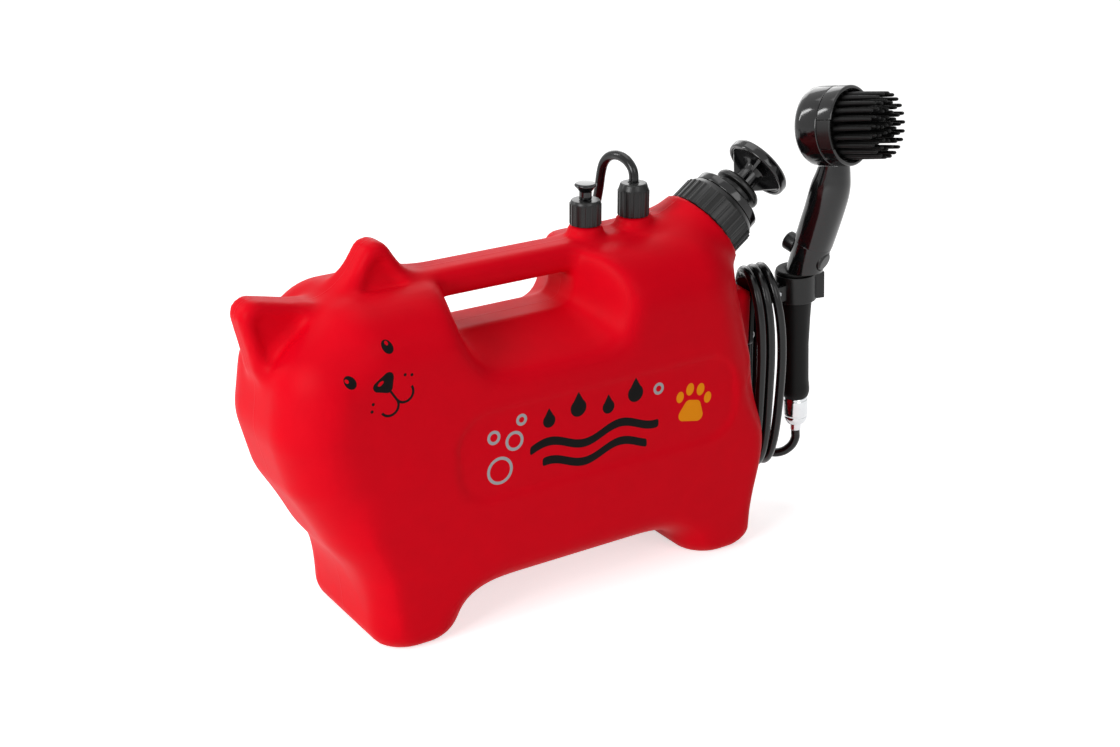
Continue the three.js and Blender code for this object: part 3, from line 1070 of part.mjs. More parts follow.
const ringFoot = HEAD_SPLIT + GAP;
const ringInner = HEAD_RADIUS - HEAD_WALL;
const plateRadius = HEAD_RADIUS - LATCH_THICKNESS - LATCH_TRAVEL - 2 * GAP;
const ledgeTop = SPRAY_LOW - GAP;
const windowEdge = LATCH_HALF_WIDTH + GAP;
const latchWindow = solid(block(2 * windowEdge, HEAD_RADIUS, RING_FRONT - ringFoot + 2 * OVERRUN,
  [-windowEdge, -HEAD_RADIUS - OVERRUN, ringFoot - OVERRUN]))
  .subtract(solid(rod(plateRadius, ringFoot - 2 * OVERRUN, RING_FRONT + 2 * OVERRUN, ROUND_SIDES)));
mesh('head_ring', shapeOf(solid(turned([
  [RING_LEDGE, ringFoot], [HEAD_RADIUS, ringFoot], [HEAD_RADIUS, RING_FRONT - 1], [HEAD_RADIUS - 1, RING_FRONT],
  [ringInner, RING_FRONT], [ringInner, ledgeTop], [RING_LEDGE, ledgeTop],
])).subtract(latchWindow)), GLOSS_BLACK, headGroup);
const latchSpan = Math.asin(LATCH_HALF_WIDTH / HEAD_RADIUS);
const latchInner = HEAD_RADIUS - LATCH_THICKNESS;
const downwards = (points) => points.map(([x, y]) => [y, -x]);
mesh('head_latch', prism(downwards([
  ...arc(HEAD_RADIUS, -latchSpan, latchSpan, 6), ...arc(latchInner, latchSpan, -latchSpan, 6),
]), ringFoot, RING_FRONT - GAP), GLOSS_BLACK, headGroup);
const springArch = (inset) => Array.from({ length: 9 }, (_, k) => {
  const x = (k / 4 - 1) * LATCH_SPRING_HALF;
  const reach = latchInner - GAP - LATCH_SPRING_BOW * (x / LATCH_SPRING_HALF) ** 2 - inset;
  return [x, -Math.sqrt(reach ** 2 - x ** 2)];
});
mesh('latch_spring', prism([...springArch(0), ...springArch(LATCH_SPRING).reverse()], ringFoot, ledgeTop),
  STEEL, headGroup);
const holes = (count, radius, ringRadius, low, high) => Array.from({ length: count }, (_, k) =>
  rod(radius, low - 1, high + 1, PIN_SIDES).translate(ringRadius, 0, 0).rotateZ(((k + 0.5) / count) * 2 * Math.PI));
mesh('spray_plate', shapeOf(cut(
  solid(rod(plateRadius, SPRAY_LOW, SPRAY_HIGH, ROUND_SIDES)),
  ...holes(SPRAY_HOLES, SPRAY_HOLE, SPRAY_HOLE_RING, SPRAY_LOW, SPRAY_HIGH),
)), CLEAR_GREY, headGroup);

// Brush: tapered pins in rings on a round plate
const brushLow = SPRAY_HIGH + GAP;
const brushTop = brushLow + BRUSH_PLATE;
const outerPins = plateRadius - PIN_ROOT - GAP;
const pin = turned([
  [0, brushTop - 1], [PIN_ROOT, brushTop - 1], [PIN_TIP, brushTop + PIN_LENGTH], [0, brushTop + PIN_LENGTH],
], PIN_SIDES);
const pins = PIN_RINGS.flatMap((count, ringNumber) => {
  const radius = outerPins * (1 - ringNumber / PIN_RINGS.length);
  return Array.from({ length: count }, (_, k) =>
    pin.clone().translate(radius, 0, 0).rotateZ(((k + ringNumber / 2) / count) * 2 * Math.PI));
});
mesh('brush_pins', shapeOf(cut(
  joined(rod(plateRadius, brushLow, brushTop, ROUND_SIDES), pin, ...pins),
  ...holes(BRUSH_HOLES, BRUSH_HOLE, outerPins * BRUSH_HOLE_SHARE, brushLow, brushTop),
)), BLACK_PLASTIC, headGroup);

// Hose, in three nodes: over the far shoulder, three loops on the bracket's saddle, and up into the handset
const coilPoint = (angle) => {
  const y = GRIP_Y + COIL_HALF_WIDTH * Math.cos(angle) * (1 + COIL_SHOULDER * Math.sin(angle) ** 2);
  const turns = (angle - COIL_START) / (2 * Math.PI);
  const share = (angle - COIL_START) / (COIL_END - COIL_START);
  const spread = COIL_SPREAD * share ** 4 * ((1 - Math.cos(angle)) / 2) * Math.cos(angle) ** 2;
  const topLean = COIL_TOP_LEAN * Math.max(0, -Math.sin(angle)) ** 2;
  return new THREE.Vector3(
    COIL_X + COIL_PITCH * turns + COIL_SLANT * (y - GRIP_Y + COIL_HALF_WIDTH) + spread - topLean, y,
    (COIL_TOP + COIL_LOW) / 2 - ((COIL_TOP - COIL_LOW) / 2) * Math.sin(angle),
  );
};
const heading = (angle) => coilPoint(angle + 0.001).sub(coilPoint(angle - 0.001)).normalize();
const beyond = (angle, distance) => coilPoint(angle).addScaledVector(heading(angle), distance);
const coilCount = Math.round(((COIL_END - COIL_START) / (2 * Math.PI)) * COIL_STEPS);
const coilPoints = Array.from({ length: coilCount + 1 }, (_, k) =>
  coilPoint(COIL_START + ((COIL_END - COIL_START) * k) / coilCount));
const straight = HOSE_DIAMETER;
const routed = (route) => route.map((p) => new THREE.Vector3(...p));
const hose = (name, points, sides, steps) =>
  mesh(name, tube(points, HOSE_DIAMETER / 2, sides, steps), HOSE_RUBBER, shower);
hose('hose_lead', [
  ...routed(LEAD_ROUTE), beyond(COIL_START, -2 * straight - GAP), beyond(COIL_START, -straight - GAP),
], HOSE_SIDES, LEAD_STEPS);
hose('hose_coil', [
  beyond(COIL_START, -straight), beyond(COIL_START, -straight / 2), ...coilPoints,
  beyond(COIL_END, straight / 2), beyond(COIL_END, straight),
], COIL_SIDES, coilCount + 4);
const underFerrule = (distance) => new THREE.Vector3(0, 0, FERRULE_LOW - GAP - distance)
  .applyMatrix4(handsetGroup.matrix).applyMatrix4(clipGroup.matrix);
hose('hose_tail', [
  beyond(COIL_END, straight + GAP), beyond(COIL_END, 2 * straight + GAP), ...routed(TAIL_ROUTE),
  underFerrule(straight), underFerrule(straight / 2), underFerrule(0),
], HOSE_SIDES, TAIL_STEPS);

export default shower;
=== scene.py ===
# %% [markdown]
# # A portable pet shower
# A blow-moulded water tank in the shape of a plump animal carries a hand air pump in its neck, a relief
# valve, and a hose that runs from the outlet through a hanging coil to a handset with a brush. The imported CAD
# model comes first. It fixes where everything is and how it moves, and the steps below give it its looks.

import json
import math
from functools import reduce

import bmesh
import bpy
from mathutils import Matrix, Vector


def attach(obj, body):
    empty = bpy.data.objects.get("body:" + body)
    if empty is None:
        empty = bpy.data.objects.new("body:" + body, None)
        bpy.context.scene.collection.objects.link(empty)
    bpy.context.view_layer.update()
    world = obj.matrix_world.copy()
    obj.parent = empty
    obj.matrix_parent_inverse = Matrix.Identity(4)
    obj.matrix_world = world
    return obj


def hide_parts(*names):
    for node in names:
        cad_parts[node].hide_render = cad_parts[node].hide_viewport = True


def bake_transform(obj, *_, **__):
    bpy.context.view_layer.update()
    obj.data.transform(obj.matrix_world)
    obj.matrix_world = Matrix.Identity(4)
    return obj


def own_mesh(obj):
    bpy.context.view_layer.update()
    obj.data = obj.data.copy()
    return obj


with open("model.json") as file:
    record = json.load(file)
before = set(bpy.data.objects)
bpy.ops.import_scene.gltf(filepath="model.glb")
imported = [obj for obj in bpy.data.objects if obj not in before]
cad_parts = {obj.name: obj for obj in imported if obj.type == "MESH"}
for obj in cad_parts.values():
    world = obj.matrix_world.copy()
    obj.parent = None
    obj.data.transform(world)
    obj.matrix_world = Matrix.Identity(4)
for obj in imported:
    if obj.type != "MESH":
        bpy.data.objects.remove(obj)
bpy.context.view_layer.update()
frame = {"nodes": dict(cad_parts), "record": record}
for packed in list(bpy.data.materials):
    packed.name = "packed_" + packed.name
bpy.context.scene.view_settings.view_transform = "Standard"


def placed(name, data):
    """A new object in the scene's collection."""
    made = bpy.data.objects.new(name, data)
    bpy.context.scene.collection.objects.link(made)
    return made


# %% [markdown]
# ## Camera
# The photograph was taken from the left of the flank and a little above. The camera's place is worked out
# from two angles and a distance, which keeps it easy to nudge, and nothing is shifted.

# %% Camera
SENSOR_MM = 36
LENS_MM = 56.25
AZIMUTH = math.radians(-33)
ELEVATION = math.radians(22)
DISTANCE = 1.264
TARGET = Vector((0.153, 0, 0.148))

camera_data = bpy.data.cameras.new("camera")
camera_data.sensor_width = SENSOR_MM
camera_data.lens = LENS_MM
camera = placed("camera", camera_data)
back = Vector((
    math.sin(AZIMUTH) * math.cos(ELEVATION), -math.cos(AZIMUTH) * math.cos(ELEVATION), math.sin(ELEVATION),
))
camera.location = TARGET + DISTANCE * back
camera.rotation_euler = (-back).to_track_quat("-Z", "Y").to_euler()
bpy.context.scene.camera = camera
print("camera at", [round(c, 3) for c in camera.location])

# %% [markdown]
# ## Where the groups of pieces stand
# Every shape is drawn in millimetres, in the frame of its own group: the pump leans back in its neck, and the
# handset stands in a clip, turned a little outwards. A group's frame is a matrix, and one more matrix turns
# millimetres into metres at the very end. So the numbers stay round, and each object sits at the origin.

# %% Frames of the groups
MM = 0.001
TO_METRES = Matrix.Scale(MM, 4)


def standing(place, tilt=0.0, turn=0.0):
    """A group's frame: turned about Z, then tilted about Y, then moved to its place; angles in degrees."""
    tilted = Matrix.Rotation(math.radians(tilt), 4, "Y")
    return Matrix.Translation(place) @ tilted @ Matrix.Rotation(math.radians(turn), 4, "Z")


GRIP_Y = -24
TANK = standing((0, 0, 0))
PUMP = standing((278, 0, 238), tilt=54)
CLIP = standing((328.6, GRIP_Y, 184), tilt=-3.7)
HANDSET = CLIP @ standing((22.4, 0, -184), turn=-74)
VALVE = HANDSET @ standing((8, 0, 198.5), tilt=19.5)
HEAD = HANDSET @ standing((33.8, 0, 313.6), tilt=81)
print("the brush faces", [round(c, 2) for c in HEAD.to_3x3() @ Vector((0, 0, 1))])

# %% [markdown]
# ## The hose
# The hose leaves the outlet cap upwards, arches over the far shoulder, hangs in three loops on the bracket
# and ends in the handset's ferrule. A cord is a line with a length first of all, so the line comes before any
# surface: a centripetal Catmull-Rom curve, which passes through its points without overshooting. The loops
# follow a formula instead: an oval, fuller at its shoulders, that steps one hose width along at each turn.

# %% A smooth curve through points
def through(points, steps=5):
    """The centripetal Catmull-Rom curve through points, with so many steps from each to the next."""
    ends = [2 * points[0] - points[1], *points, 2 * points[-1] - points[-2]]
    line = []
    for before, start, end, after in zip(ends, ends[1:], ends[2:], ends[3:]):
        a, b, c = (math.sqrt((q - p).length) for p, q in ((before, start), (start, end), (end, after)))
        leave = b * ((start - before) / a - (end - before) / (a + b) + (end - start) / b)
        arrive = b * ((end - start) / b - (after - start) / (b + c) + (after - end) / c)
        for t in (k / steps for k in range(steps)):
            square = 3 * (end - start) - 2 * leave - arrive
            cube = 2 * (start - end) + leave + arrive
            line.append(start + t * leave + (t * t * square + t ** 3 * cube))
    return [*line, points[-1].copy()]


# %% The hanging loops
HOSE_WIDTH = 7
COIL_X, COIL_PITCH, COIL_SLANT = 295, 7.9, 0.35
COIL_MIDDLE, COIL_HALF_HEIGHT, COIL_HALF_WIDTH = 127, 78, 26
COIL_SHOULDER, COIL_SPREAD, COIL_LEAN = 0.5, 8, 8
COIL_START, LAST_TOP, COIL_END = math.radians(-20), math.radians(990), math.radians(1110)
COIL_STEP = math.radians(3)
NUDGE = 0.001


def coil_point(angle):
    """The hose's centre at an angle round the loops, which start where the lead comes in."""
    share = (angle - COIL_START) / (COIL_END - COIL_START)
    turns = (angle - COIL_START) / (2 * math.pi)
    cosine, sine = math.cos(angle), math.sin(angle)
    y = GRIP_Y + COIL_HALF_WIDTH * cosine * (1 + COIL_SHOULDER * sine ** 2)
    spread = COIL_SPREAD * share ** 4 * (1 - cosine) / 2 * cosine ** 2
    slant = COIL_SLANT * (y - GRIP_Y + COIL_HALF_WIDTH)
    x = COIL_X + COIL_PITCH * turns + slant + spread - COIL_LEAN * max(0, -sine) ** 2
    return Vector((x, y, COIL_MIDDLE - COIL_HALF_HEIGHT * sine))


def beyond(angle, distance):
    """A point on the tangent to the loops, so far beyond an angle."""
    heading = (coil_point(angle + NUDGE) - coil_point(angle - NUDGE)).normalized()
    return coil_point(angle) + distance * heading


def loops(start, end):
    count = round((end - start) / COIL_STEP)
    return [coil_point(start + (end - start) * k / count) for k in range(count + 1)]


# %% The lead from the outlet, and the tail up to the handset
LEAD_ROUTE = [
    (215.5, 0, 281.4), (215.5, 0, 286), (215.3, 1.5, 290.5), (214.6, 6.5, 295), (213.6, 13, 297.2),
    (212.8, 20, 297), (212, 27, 294), (211.4, 32, 288.5), (211, 34.5, 281), (211, 37, 269),
    (212, 42, 256), (214.5, 49, 247), (219, 58, 236.5), (227, 66, 223), (238, 70, 210),
    (252, 70.5, 200.5), (266, 67.5, 195), (279, 61.5, 193), (289, 53, 191.5), (297.5, 42, 189),
    (303.5, 30.5, 186.5), (307, 17.6, 184), (308.5, 9.6, 181.5), (309.6, 3.9, 176.3),
]
TAIL_ROUTE = [
    (336.6, 0, 66), (336.6, -0.5, 57.5), (337.9, -2.2, 50), (341.7, -6.5, 44), (347.2, -12.3, 41.8),
    (352.8, -18.1, 44), (357.4, -22.4, 50),
]
FERRULE_FOOT = 62.2
JOIN = 7.15

joined_lead = [beyond(COIL_START, -2 * JOIN), beyond(COIL_START, -JOIN), coil_point(COIL_START)]
lead = through([*map(Vector, LEAD_ROUTE), *joined_lead])
joined_tail = [coil_point(COIL_END), beyond(COIL_END, JOIN), beyond(COIL_END, 2 * JOIN)]
up_to_ferrule = [HANDSET @ Vector((0, 0, FERRULE_FOOT - HOSE_WIDTH * k / 2)) for k in (2, 1, 0)]
tail = through([*joined_tail, *map(Vector, TAIL_ROUTE), *up_to_ferrule])
hose_lines = {
    "hose_main": lead[:-1] + loops(COIL_START, LAST_TOP),
    "hose_end_run": loops(LAST_TOP, COIL_END)[:-1] + tail,
}


def length_of(line):
    return sum((b - a).length for a, b in zip(line, line[1:]))


print("hose:", {name: round(length_of(line)) for name, line in hose_lines.items()}, "mm")

# %% [markdown]
# ## Meshes
# Every shape is a closed mesh: a line, an outline or a section is carried along or round, and its faces are
# made between one ring of points and the next. `piece` puts a mesh in its place, gives it its finish, hangs
# it on the body that carries it and hides the CAD nodes it stands for.

# %% Closed meshes
def mesh_of(vertices, faces):
    """A closed mesh in millimetres, its faces pointing outwards."""
    mesh = bpy.data.meshes.new("shape")
    mesh.from_pydata([tuple(v) for v in vertices], [], faces)
    work = bmesh.new()
    work.from_mesh(mesh)
    bmesh.ops.recalc_face_normals(work, faces=work.faces)
    work.to_mesh(mesh)
    work.free()
    return mesh


def skinned(rings):
    """A closed mesh through rings of equally many points, with a flat face at both ends."""
    count, last = len(rings[0]), len(rings) - 1
    edges = [(row * count + k, row * count + (k + 1) % count) for row in range(last) for k in range(count)]
    faces = [(a, b, b + count, a + count) for a, b in edges]
    ends = [tuple(range(count)), tuple(range(last * count, last * count + count))]
    return mesh_of([point for ring in rings for point in ring], faces + ends)


def around(count):
    """Evenly spaced angles of a full turn."""
    return [2 * math.pi * k / count for k in range(count)]


def tube(line, radius, sides=20):
    """A round tube along a line, closed at both ends, whose rings turn as little as they can."""
    ahead = [(b - a).normalized() for a, b in zip([line[0], *line[:-1]], [*line[1:], line[-1]])]
    across = ahead[0].orthogonal().normalized()
    rings = []
    for centre, heading in zip(line, ahead):
        across = (across - across.dot(heading) * heading).normalized()
        other = heading.cross(across)
        rings.append([centre + radius * (math.cos(t) * across + math.sin(t) * other) for t in around(sides)])
    return skinned(rings)


def prism(outline, low, high, axis):
    """An outline made solid from low to high along an axis. Its own two coordinates are the other axes."""
    at = "XYZ".index(axis)
    return skinned([[(*point[:at], level, *point[at:]) for point in outline] for level in (low, high)])


def box_corners(a, b):
    return [(a[0], b[0]), (a[1], b[0]), (a[1], b[1]), (a[0], b[1])]


# %% A piece of the object
SMOOTH_UP_TO = math.radians(38)
CRISP = 0.5


def piece(name, mesh, place, finish, body, *nodes, crease=SMOOTH_UP_TO):
    """An object of the mesh at its place, with its finish, riding on a body and standing for CAD nodes."""
    mesh.transform(TO_METRES @ place)
    mesh.materials.clear()
    mesh.materials.append(finish)
    mesh.polygons.foreach_set("use_smooth", [True] * len(mesh.polygons))
    mesh.set_sharp_from_angle(angle=crease)
    made = placed(name, mesh)
    if body:
        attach(made, body)
    if nodes:
        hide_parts(*nodes)
    print(f"{name}: {len(mesh.polygons)} faces in {finish.name}")
    return made


def softened(made, width, steps=3, angle=30):
    """Round the edges of a piece by a width in millimetres, and keep its flat faces looking flat."""
    bevel = made.modifiers.new("edges", "BEVEL")
    bevel.width = width * MM
    bevel.segments = steps
    bevel.limit_method = "ANGLE"
    bevel.angle_limit = math.radians(angle)
    bevel.harden_normals = True
    return made


# %% [markdown]
# ## Node trees as sums
# The finishes and the tank's shape are node trees that do arithmetic. A small class wraps a node's output,
# and Python's operators on it add Math nodes, so sums are written as sums. One method makes every other kind
# of node.

# %% Wires
MILLIMETRES = (1000.0, 1000.0, 1000.0)


class Wire:
    """An output socket of a node tree. Python's operators on it add Math nodes to the tree."""

    def __init__(self, tree, socket=None):
        self.tree = tree
        self.socket = socket

    def node(self, kind, settings=None, inputs=None, output=0):
        """Add a node with its settings, and its sockets' values, links or lists of links."""
        made = self.tree.nodes.new(kind)
        for name, value in (settings or {}).items():
            setattr(made, name, value)
        for name, value in (inputs or {}).items():
            if isinstance(value, (Wire, list)):
                for wire in value if isinstance(value, list) else [value]:
                    self.tree.links.new(wire.socket, made.inputs[name])
            else:
                made.inputs[name].default_value = value
        return Wire(self.tree, made.outputs[output] if made.outputs else None)

    def geo(self, kind, **inputs):
        """Add a geometry node. In the name of a socket an underscore stands for a space."""
        spaced = {name.replace("_", " "): value for name, value in inputs.items()}
        return self.node("GeometryNode" + kind, None, spaced)

    def other(self, output):
        return Wire(self.tree, self.socket.node.outputs[output])

    def times(self, factors):
        """This vector with its three parts multiplied by three factors."""
        return self.node("ShaderNodeVectorMath", {"operation": "MULTIPLY"}, {0: self, 1: factors})

    def split(self):
        """The three parts of this vector."""
        x = self.node("ShaderNodeSeparateXYZ", inputs={"Vector": self})
        return x, x.other("Y"), x.other("Z")

    def vector(self, **parts):
        return self.node("ShaderNodeCombineXYZ", inputs=parts)

    def math(self, operation, *values):
        return self.node("ShaderNodeMath", {"operation": operation}, dict(enumerate(values)))

    def __add__(self, value):
        return self.math("ADD", self, value)

    def __sub__(self, value):
        return self.math("SUBTRACT", self, value)

    def __rsub__(self, value):
        return self.math("SUBTRACT", value, self)

    def __mul__(self, value):
        return self.math("MULTIPLY", self, value)

    def __truediv__(self, value):
        return self.math("DIVIDE", self, value)

    def __rtruediv__(self, value):
        return self.math("DIVIDE", value, self)

    def __neg__(self):
        return self * -1

    def __abs__(self):
        return self.math("ABSOLUTE", self)

    __radd__ = __add__
    __rmul__ = __mul__


def least(a, b, blend=0.0):
    """The smaller of two: of two distances this is a union, and blend rounds where they meet."""
    return a.math("SMOOTH_MIN", a, b, blend) if blend else a.math("MINIMUM", a, b)


def greatest(a, b, blend=0.0):
    return a.math("SMOOTH_MAX", a, b, blend) if blend else a.math("MAXIMUM", a, b)


def reach(a, b):
    squares = a * a + b * b
    return squares.math("SQRT", squares)


def step_down(distance, softness):
    """1 where a distance is negative, 0 where it is positive, and a soft edge between."""
    return distance.node(
        "ShaderNodeMapRange", {"interpolation_type": "SMOOTHSTEP"},
        {"Value": distance, "From Min": softness / 2, "From Max": -softness / 2},
    )


# %% [markdown]
# ## Finishes
# A moulded surface is never one flat colour. Polyethylene has a slow waviness and a fine grain, black parts
# differ in how much they shine, and chrome is nearly a mirror with faint streaks. Noise on the Object
# coordinates gives all of this. It feeds only colour, roughness and bump, which the export can bake, and a
# number that is the same all over is set on the shader's own socket.

# %% A finish
def linear(colour, share=1.0):
    """A share of a colour written as 0xRRGGBB, in the linear values that sockets hold."""
    parts = [(colour >> shift & 255) / 255 for shift in (16, 8, 0)]
    return tuple(share * (p / 12.92 if p <= 0.04045 else ((p + 0.055) / 1.055) ** 2.4) for p in parts)


class Finish:
    """A material whose tree starts from a place on the object in millimetres."""

    def __init__(self, name, **even):
        self.material = bpy.data.materials.new(name)
        self.material.use_nodes = True
        tree = self.material.node_tree
        self.shader = tree.nodes["Principled BSDF"]
        for socket, value in even.items():
            self.shader.inputs[socket.replace("_", " ")].default_value = value
        self.place = Wire(tree).node("ShaderNodeTexCoord", output="Object").times(MILLIMETRES)
        self.x, self.y, self.z = self.place.split()

    def noise(self, size, detail=2.0, stretch=(1, 1, 1)):
        """Noise from 0 to 1 whose blobs are about a size in millimetres, drawn out by a stretch."""
        scaled = self.place.times(tuple(1 / (size * s) for s in stretch))
        inputs = {"Vector": scaled, "Scale": 1.0, "Detail": detail}
        return scaled.node("ShaderNodeTexNoise", inputs=inputs, output="Fac")

    def mix(self, share, low, high):
        """A colour between two, given as linear values or wires."""
        full = [value if isinstance(value, Wire) else (*value, 1) for value in (low, high)]
        inputs = {0: share, 6: full[0], 7: full[1]}
        return self.place.node("ShaderNodeMix", {"data_type": "RGBA"}, inputs, output=2)

    def feed(self, **wires):
        """Link wires to the shader's sockets."""
        for name, wire in wires.items():
            self.material.node_tree.links.new(wire.socket, self.shader.inputs[name.replace("_", " ")])
        return self.material

    def covered(self, colour, roughness, height):
        """Feed a colour, a roughness and a relief whose height is in millimetres."""
        inputs = {"Height": height, "Distance": MM, "Strength": 1.0}
        bump = height.node("ShaderNodeBump", inputs=inputs)
        return self.feed(Base_Color=colour, Roughness=roughness, Normal=bump)


# %% Moulded blacks and rubber
def moulded(name, colour, shine, grain_size, grain_depth, **even):
    """A dark moulded finish, with the size and depth of its grain in millimetres."""
    finish = Finish(name, **even)
    clouds = finish.noise(14, detail=3)
    grain = finish.noise(grain_size)
    return finish.covered(
        colour=finish.mix(clouds, linear(colour, 0.8), linear(colour, 1.3)),
        roughness=shine + 0.1 * (clouds - 0.5) + 0.06 * (grain - 0.5),
        height=grain_depth * grain,
    )


black_plastic = moulded("black_plastic", 0x101010, 0.32, 0.5, 0.02, Specular_IOR_Level=0.36)
gloss_black = moulded("gloss_black", 0x0b0b0c, 0.12, 9, 0.04, Specular_IOR_Level=0.5)
rubber = moulded("rubber", 0x0c0c0c, 0.5, 0.35, 0.03, Specular_IOR_Level=0.15)
hose_rubber = moulded("hose_rubber", 0x0a0a0b, 0.2, 2.5, 0.01, Specular_IOR_Level=0.35)
clear_grey = moulded("clear_grey", 0x8f9193, 0.3, 3, 0.02)

# %% Chrome and steel
def metal(name, colour, shine, streak, streak_depth):
    """A metal with faint streaks drawn out along Z."""
    finish = Finish(name, Metallic=1.0)
    streaks = finish.noise(streak, stretch=(1, 1, 9))
    tarnish = finish.noise(8)
    return finish.covered(
        colour=finish.mix(tarnish, linear(colour, 0.88), linear(colour)),
        roughness=shine + 0.12 * (streaks - 0.5),
        height=streak_depth * streaks,
    )


chrome = metal("chrome", 0xd8dadc, 0.14, 0.9, 0.01)
steel = metal("steel", 0xb4b6b8, 0.32, 0.5, 0.015)
print("finishes:", [m.name for m in bpy.data.materials])

# %% [markdown]
# The hose is one length, but its end moves when the handset is lifted out. So it is made in two runs that
# meet at the top of the last loop. The first stays with the tank, and the second runs on to the ferrule.

# %% The hose's two runs
def metres(point):
    return tuple(c * MM for c in point)


hose = {}
for name, nodes, body in (
    ("hose_main", ("hose_lead", "hose_coil"), "tank"), ("hose_end_run", ("hose_tail",), None),
):
    line = hose_lines[name]
    hose[name] = piece(name, tube(line, HOSE_WIDTH / 2), TANK, hose_rubber, body, *nodes)
    metres(line[0])
    round(length_of(line) * MM, 4)
    [metres(p) for p in line]
last_run = hose_lines["hose_end_run"]
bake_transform(hose["hose_end_run"], "tank", "hose_end", start=metres(last_run[0]), end=metres(last_run[-1]))

# %% [markdown]
# ## The tank
# The tank is blow-moulded, so every form flows into the next with a soft fillet. Joining boxes and bevelling
# them can't give that, but a distance field can. Each form is a sum that says how far a point is outside it.
# The smaller of two distances joins two forms, a smooth minimum adds the fillet, and a smooth maximum with a
# negative distance cuts a rounded hollow. Geometry Nodes fill a grid with the field and draw the skin where
# it is zero.

# %% Distances to simple forms
def span(value, low_high):
    """A coordinate measured from the middle of a span, and half the span's length."""
    low, high = low_high
    return value - (low + high) / 2, (high - low) / 2


def outside(value, low_high):
    """How far a coordinate is outside a span."""
    value, half = span(value, low_high)
    return abs(value) - half


def overlap(a, b, edge):
    """The distance to where two forms overlap. Both are given shrunk by a radius, which rounds their edge."""
    return reach(greatest(a, 0), greatest(b, 0)) + least(greatest(a, b), 0) - edge


def slab(outline, across, half, edge):
    """The distance to an outline made solid to both sides of a middle plane, with its rims rounded."""
    return overlap(outline + edge, abs(across) - (half - edge), edge)


def box_outline(a, b, span_a, span_b, corner):
    """The distance to a rectangle with rounded corners, given by the spans that it covers."""
    (a, half_a), (b, half_b) = span(a, span_a), span(b, span_b)
    return overlap(abs(a) - (half_a - corner), abs(b) - (half_b - corner), corner)


def boxed(a, b, axes, form):
    """The box outline of a form whose spans and corner radius are listed."""
    return box_outline(a, b, form[axes[0]], form[axes[1]], form["round"])


def hull_outline(x, z, corners, corner):
    """The distance to a convex outline, given anticlockwise by the centres of its round corners."""
    sides, distances = [], []
    for (ax, az), (bx, bz) in zip(corners, [*corners[1:], corners[0]]):
        edge = math.hypot(bx - ax, bz - az)
        along_x, along_z = (bx - ax) / edge, (bz - az) / edge
        sides.append((x - ax) * along_z - (z - az) * along_x)
        past = abs((x - ax) * along_x + (z - az) * along_z - edge / 2) - edge / 2
        distances.append(reach(sides[-1], greatest(past, 0)))
    inside = reduce(greatest, sides)
    return reduce(least, distances) * inside.math("GREATER_THAN", inside, 0) + least(inside, 0) - corner


def oval(u, v, half_u, half_v):
    return (reach(u / half_u, v / half_v) - 1) * min(half_u, half_v)


def turned(x, z, centre, angle):
    """Coordinates about a centre, turned by an angle in degrees."""
    cosine, sine = math.cos(math.radians(angle)), math.sin(math.radians(angle))
    u, v = x - centre[0], z - centre[1]
    return u * cosine + v * sine, v * cosine - u * sine


# %% [markdown]
# The skin is red polyethylene, satin with a slow waviness, and a faint line runs round the middle where the
# halves of the mould met. The motifs printed on one flank are plain ones made for this model: an animal's
# face, and waves, drops, bubbles and a paw. They use the same distances as the tank, in two directions only,
# so their edges are clean at any size.

# %% Printed motifs
FACE_PLACE, FACE_TURN = (-20, 200), 33
PAW_PLACE, PAW_TURN = (226, 128), -12
WAVES = ((126, (88, 196)), (112, (98, 186)))
WAVE_START, WAVE_LENGTH, WAVE_SWING, WAVE_HALF = 88, 9.5, 4, 3.2
WAVE_EASE, WAVE_ROUND = 0.8, 3
DROPS = ((104, 145, 5), (128, 149, 6.5), (153, 144, 5), (176, 149, 6.5))
DROP_TIP, DROP_ROUND = ((-0.72, 0.5), (0.72, 0.5), (0, 1.75)), 0.4
BUBBLES = ((64, 118, 9), (76, 137, 6), (60, 143, 4), (82, 151, 3.2), (196, 148, 3.4))
BUBBLE_HALF = 1.1


def face_print(x, z):
    """Two eyes with glints, a nose, a smile below it and whisker dots, the same to both sides."""
    u, v = turned(x, z, FACE_PLACE, FACE_TURN)
    beside = abs(u)
    inked = reduce(least, (
        oval(beside - 16.5, v - 17, 3.6, 4.6),
        hull_outline(u, v, ((-4.6, 2), (0, -3.2), (4.6, 2)), 3.6),
        box_outline(u, v, (-0.8, 0.8), (-15, -6), 0.8),
        greatest(abs(reach(beside - 6.5, v + 14.5) - 6.5) - 0.9, v + 14.5),
        oval(beside - 14, v + 5, 1.1, 1.1),
        oval(beside - 17.5, v + 8.5, 1.1, 1.1),
    ))
    glints = least(oval(beside - 17.6, v - 19, 1.1, 1.4), oval(u + 2, v - 2.6, 2.4, 1.2))
    return greatest(inked, -glints)


def black_motifs(x, z):
    """Waves, and drops that fall on them."""
    phase = (x - WAVE_START) / WAVE_LENGTH
    swing = WAVE_SWING * phase.math("SINE", phase)
    shapes = []
    for height, ends in WAVES:
        band = abs(z - height - swing) - WAVE_HALF
        shapes.append(greatest(band * WAVE_EASE, outside(x, ends), WAVE_ROUND))
    for drop_x, drop_z, size in DROPS:
        u, v = x - drop_x, z - drop_z
        tip = [(a * size, b * size) for a, b in DROP_TIP]
        shapes += [oval(u, v, size, size), hull_outline(u, v, tip, DROP_ROUND)]
    return reduce(least, shapes)


def grey_motifs(x, z):
    """Bubbles drawn as rings."""
    return reduce(least, [abs(reach(x - a, z - b) - size) - BUBBLE_HALF for a, b, size in BUBBLES])


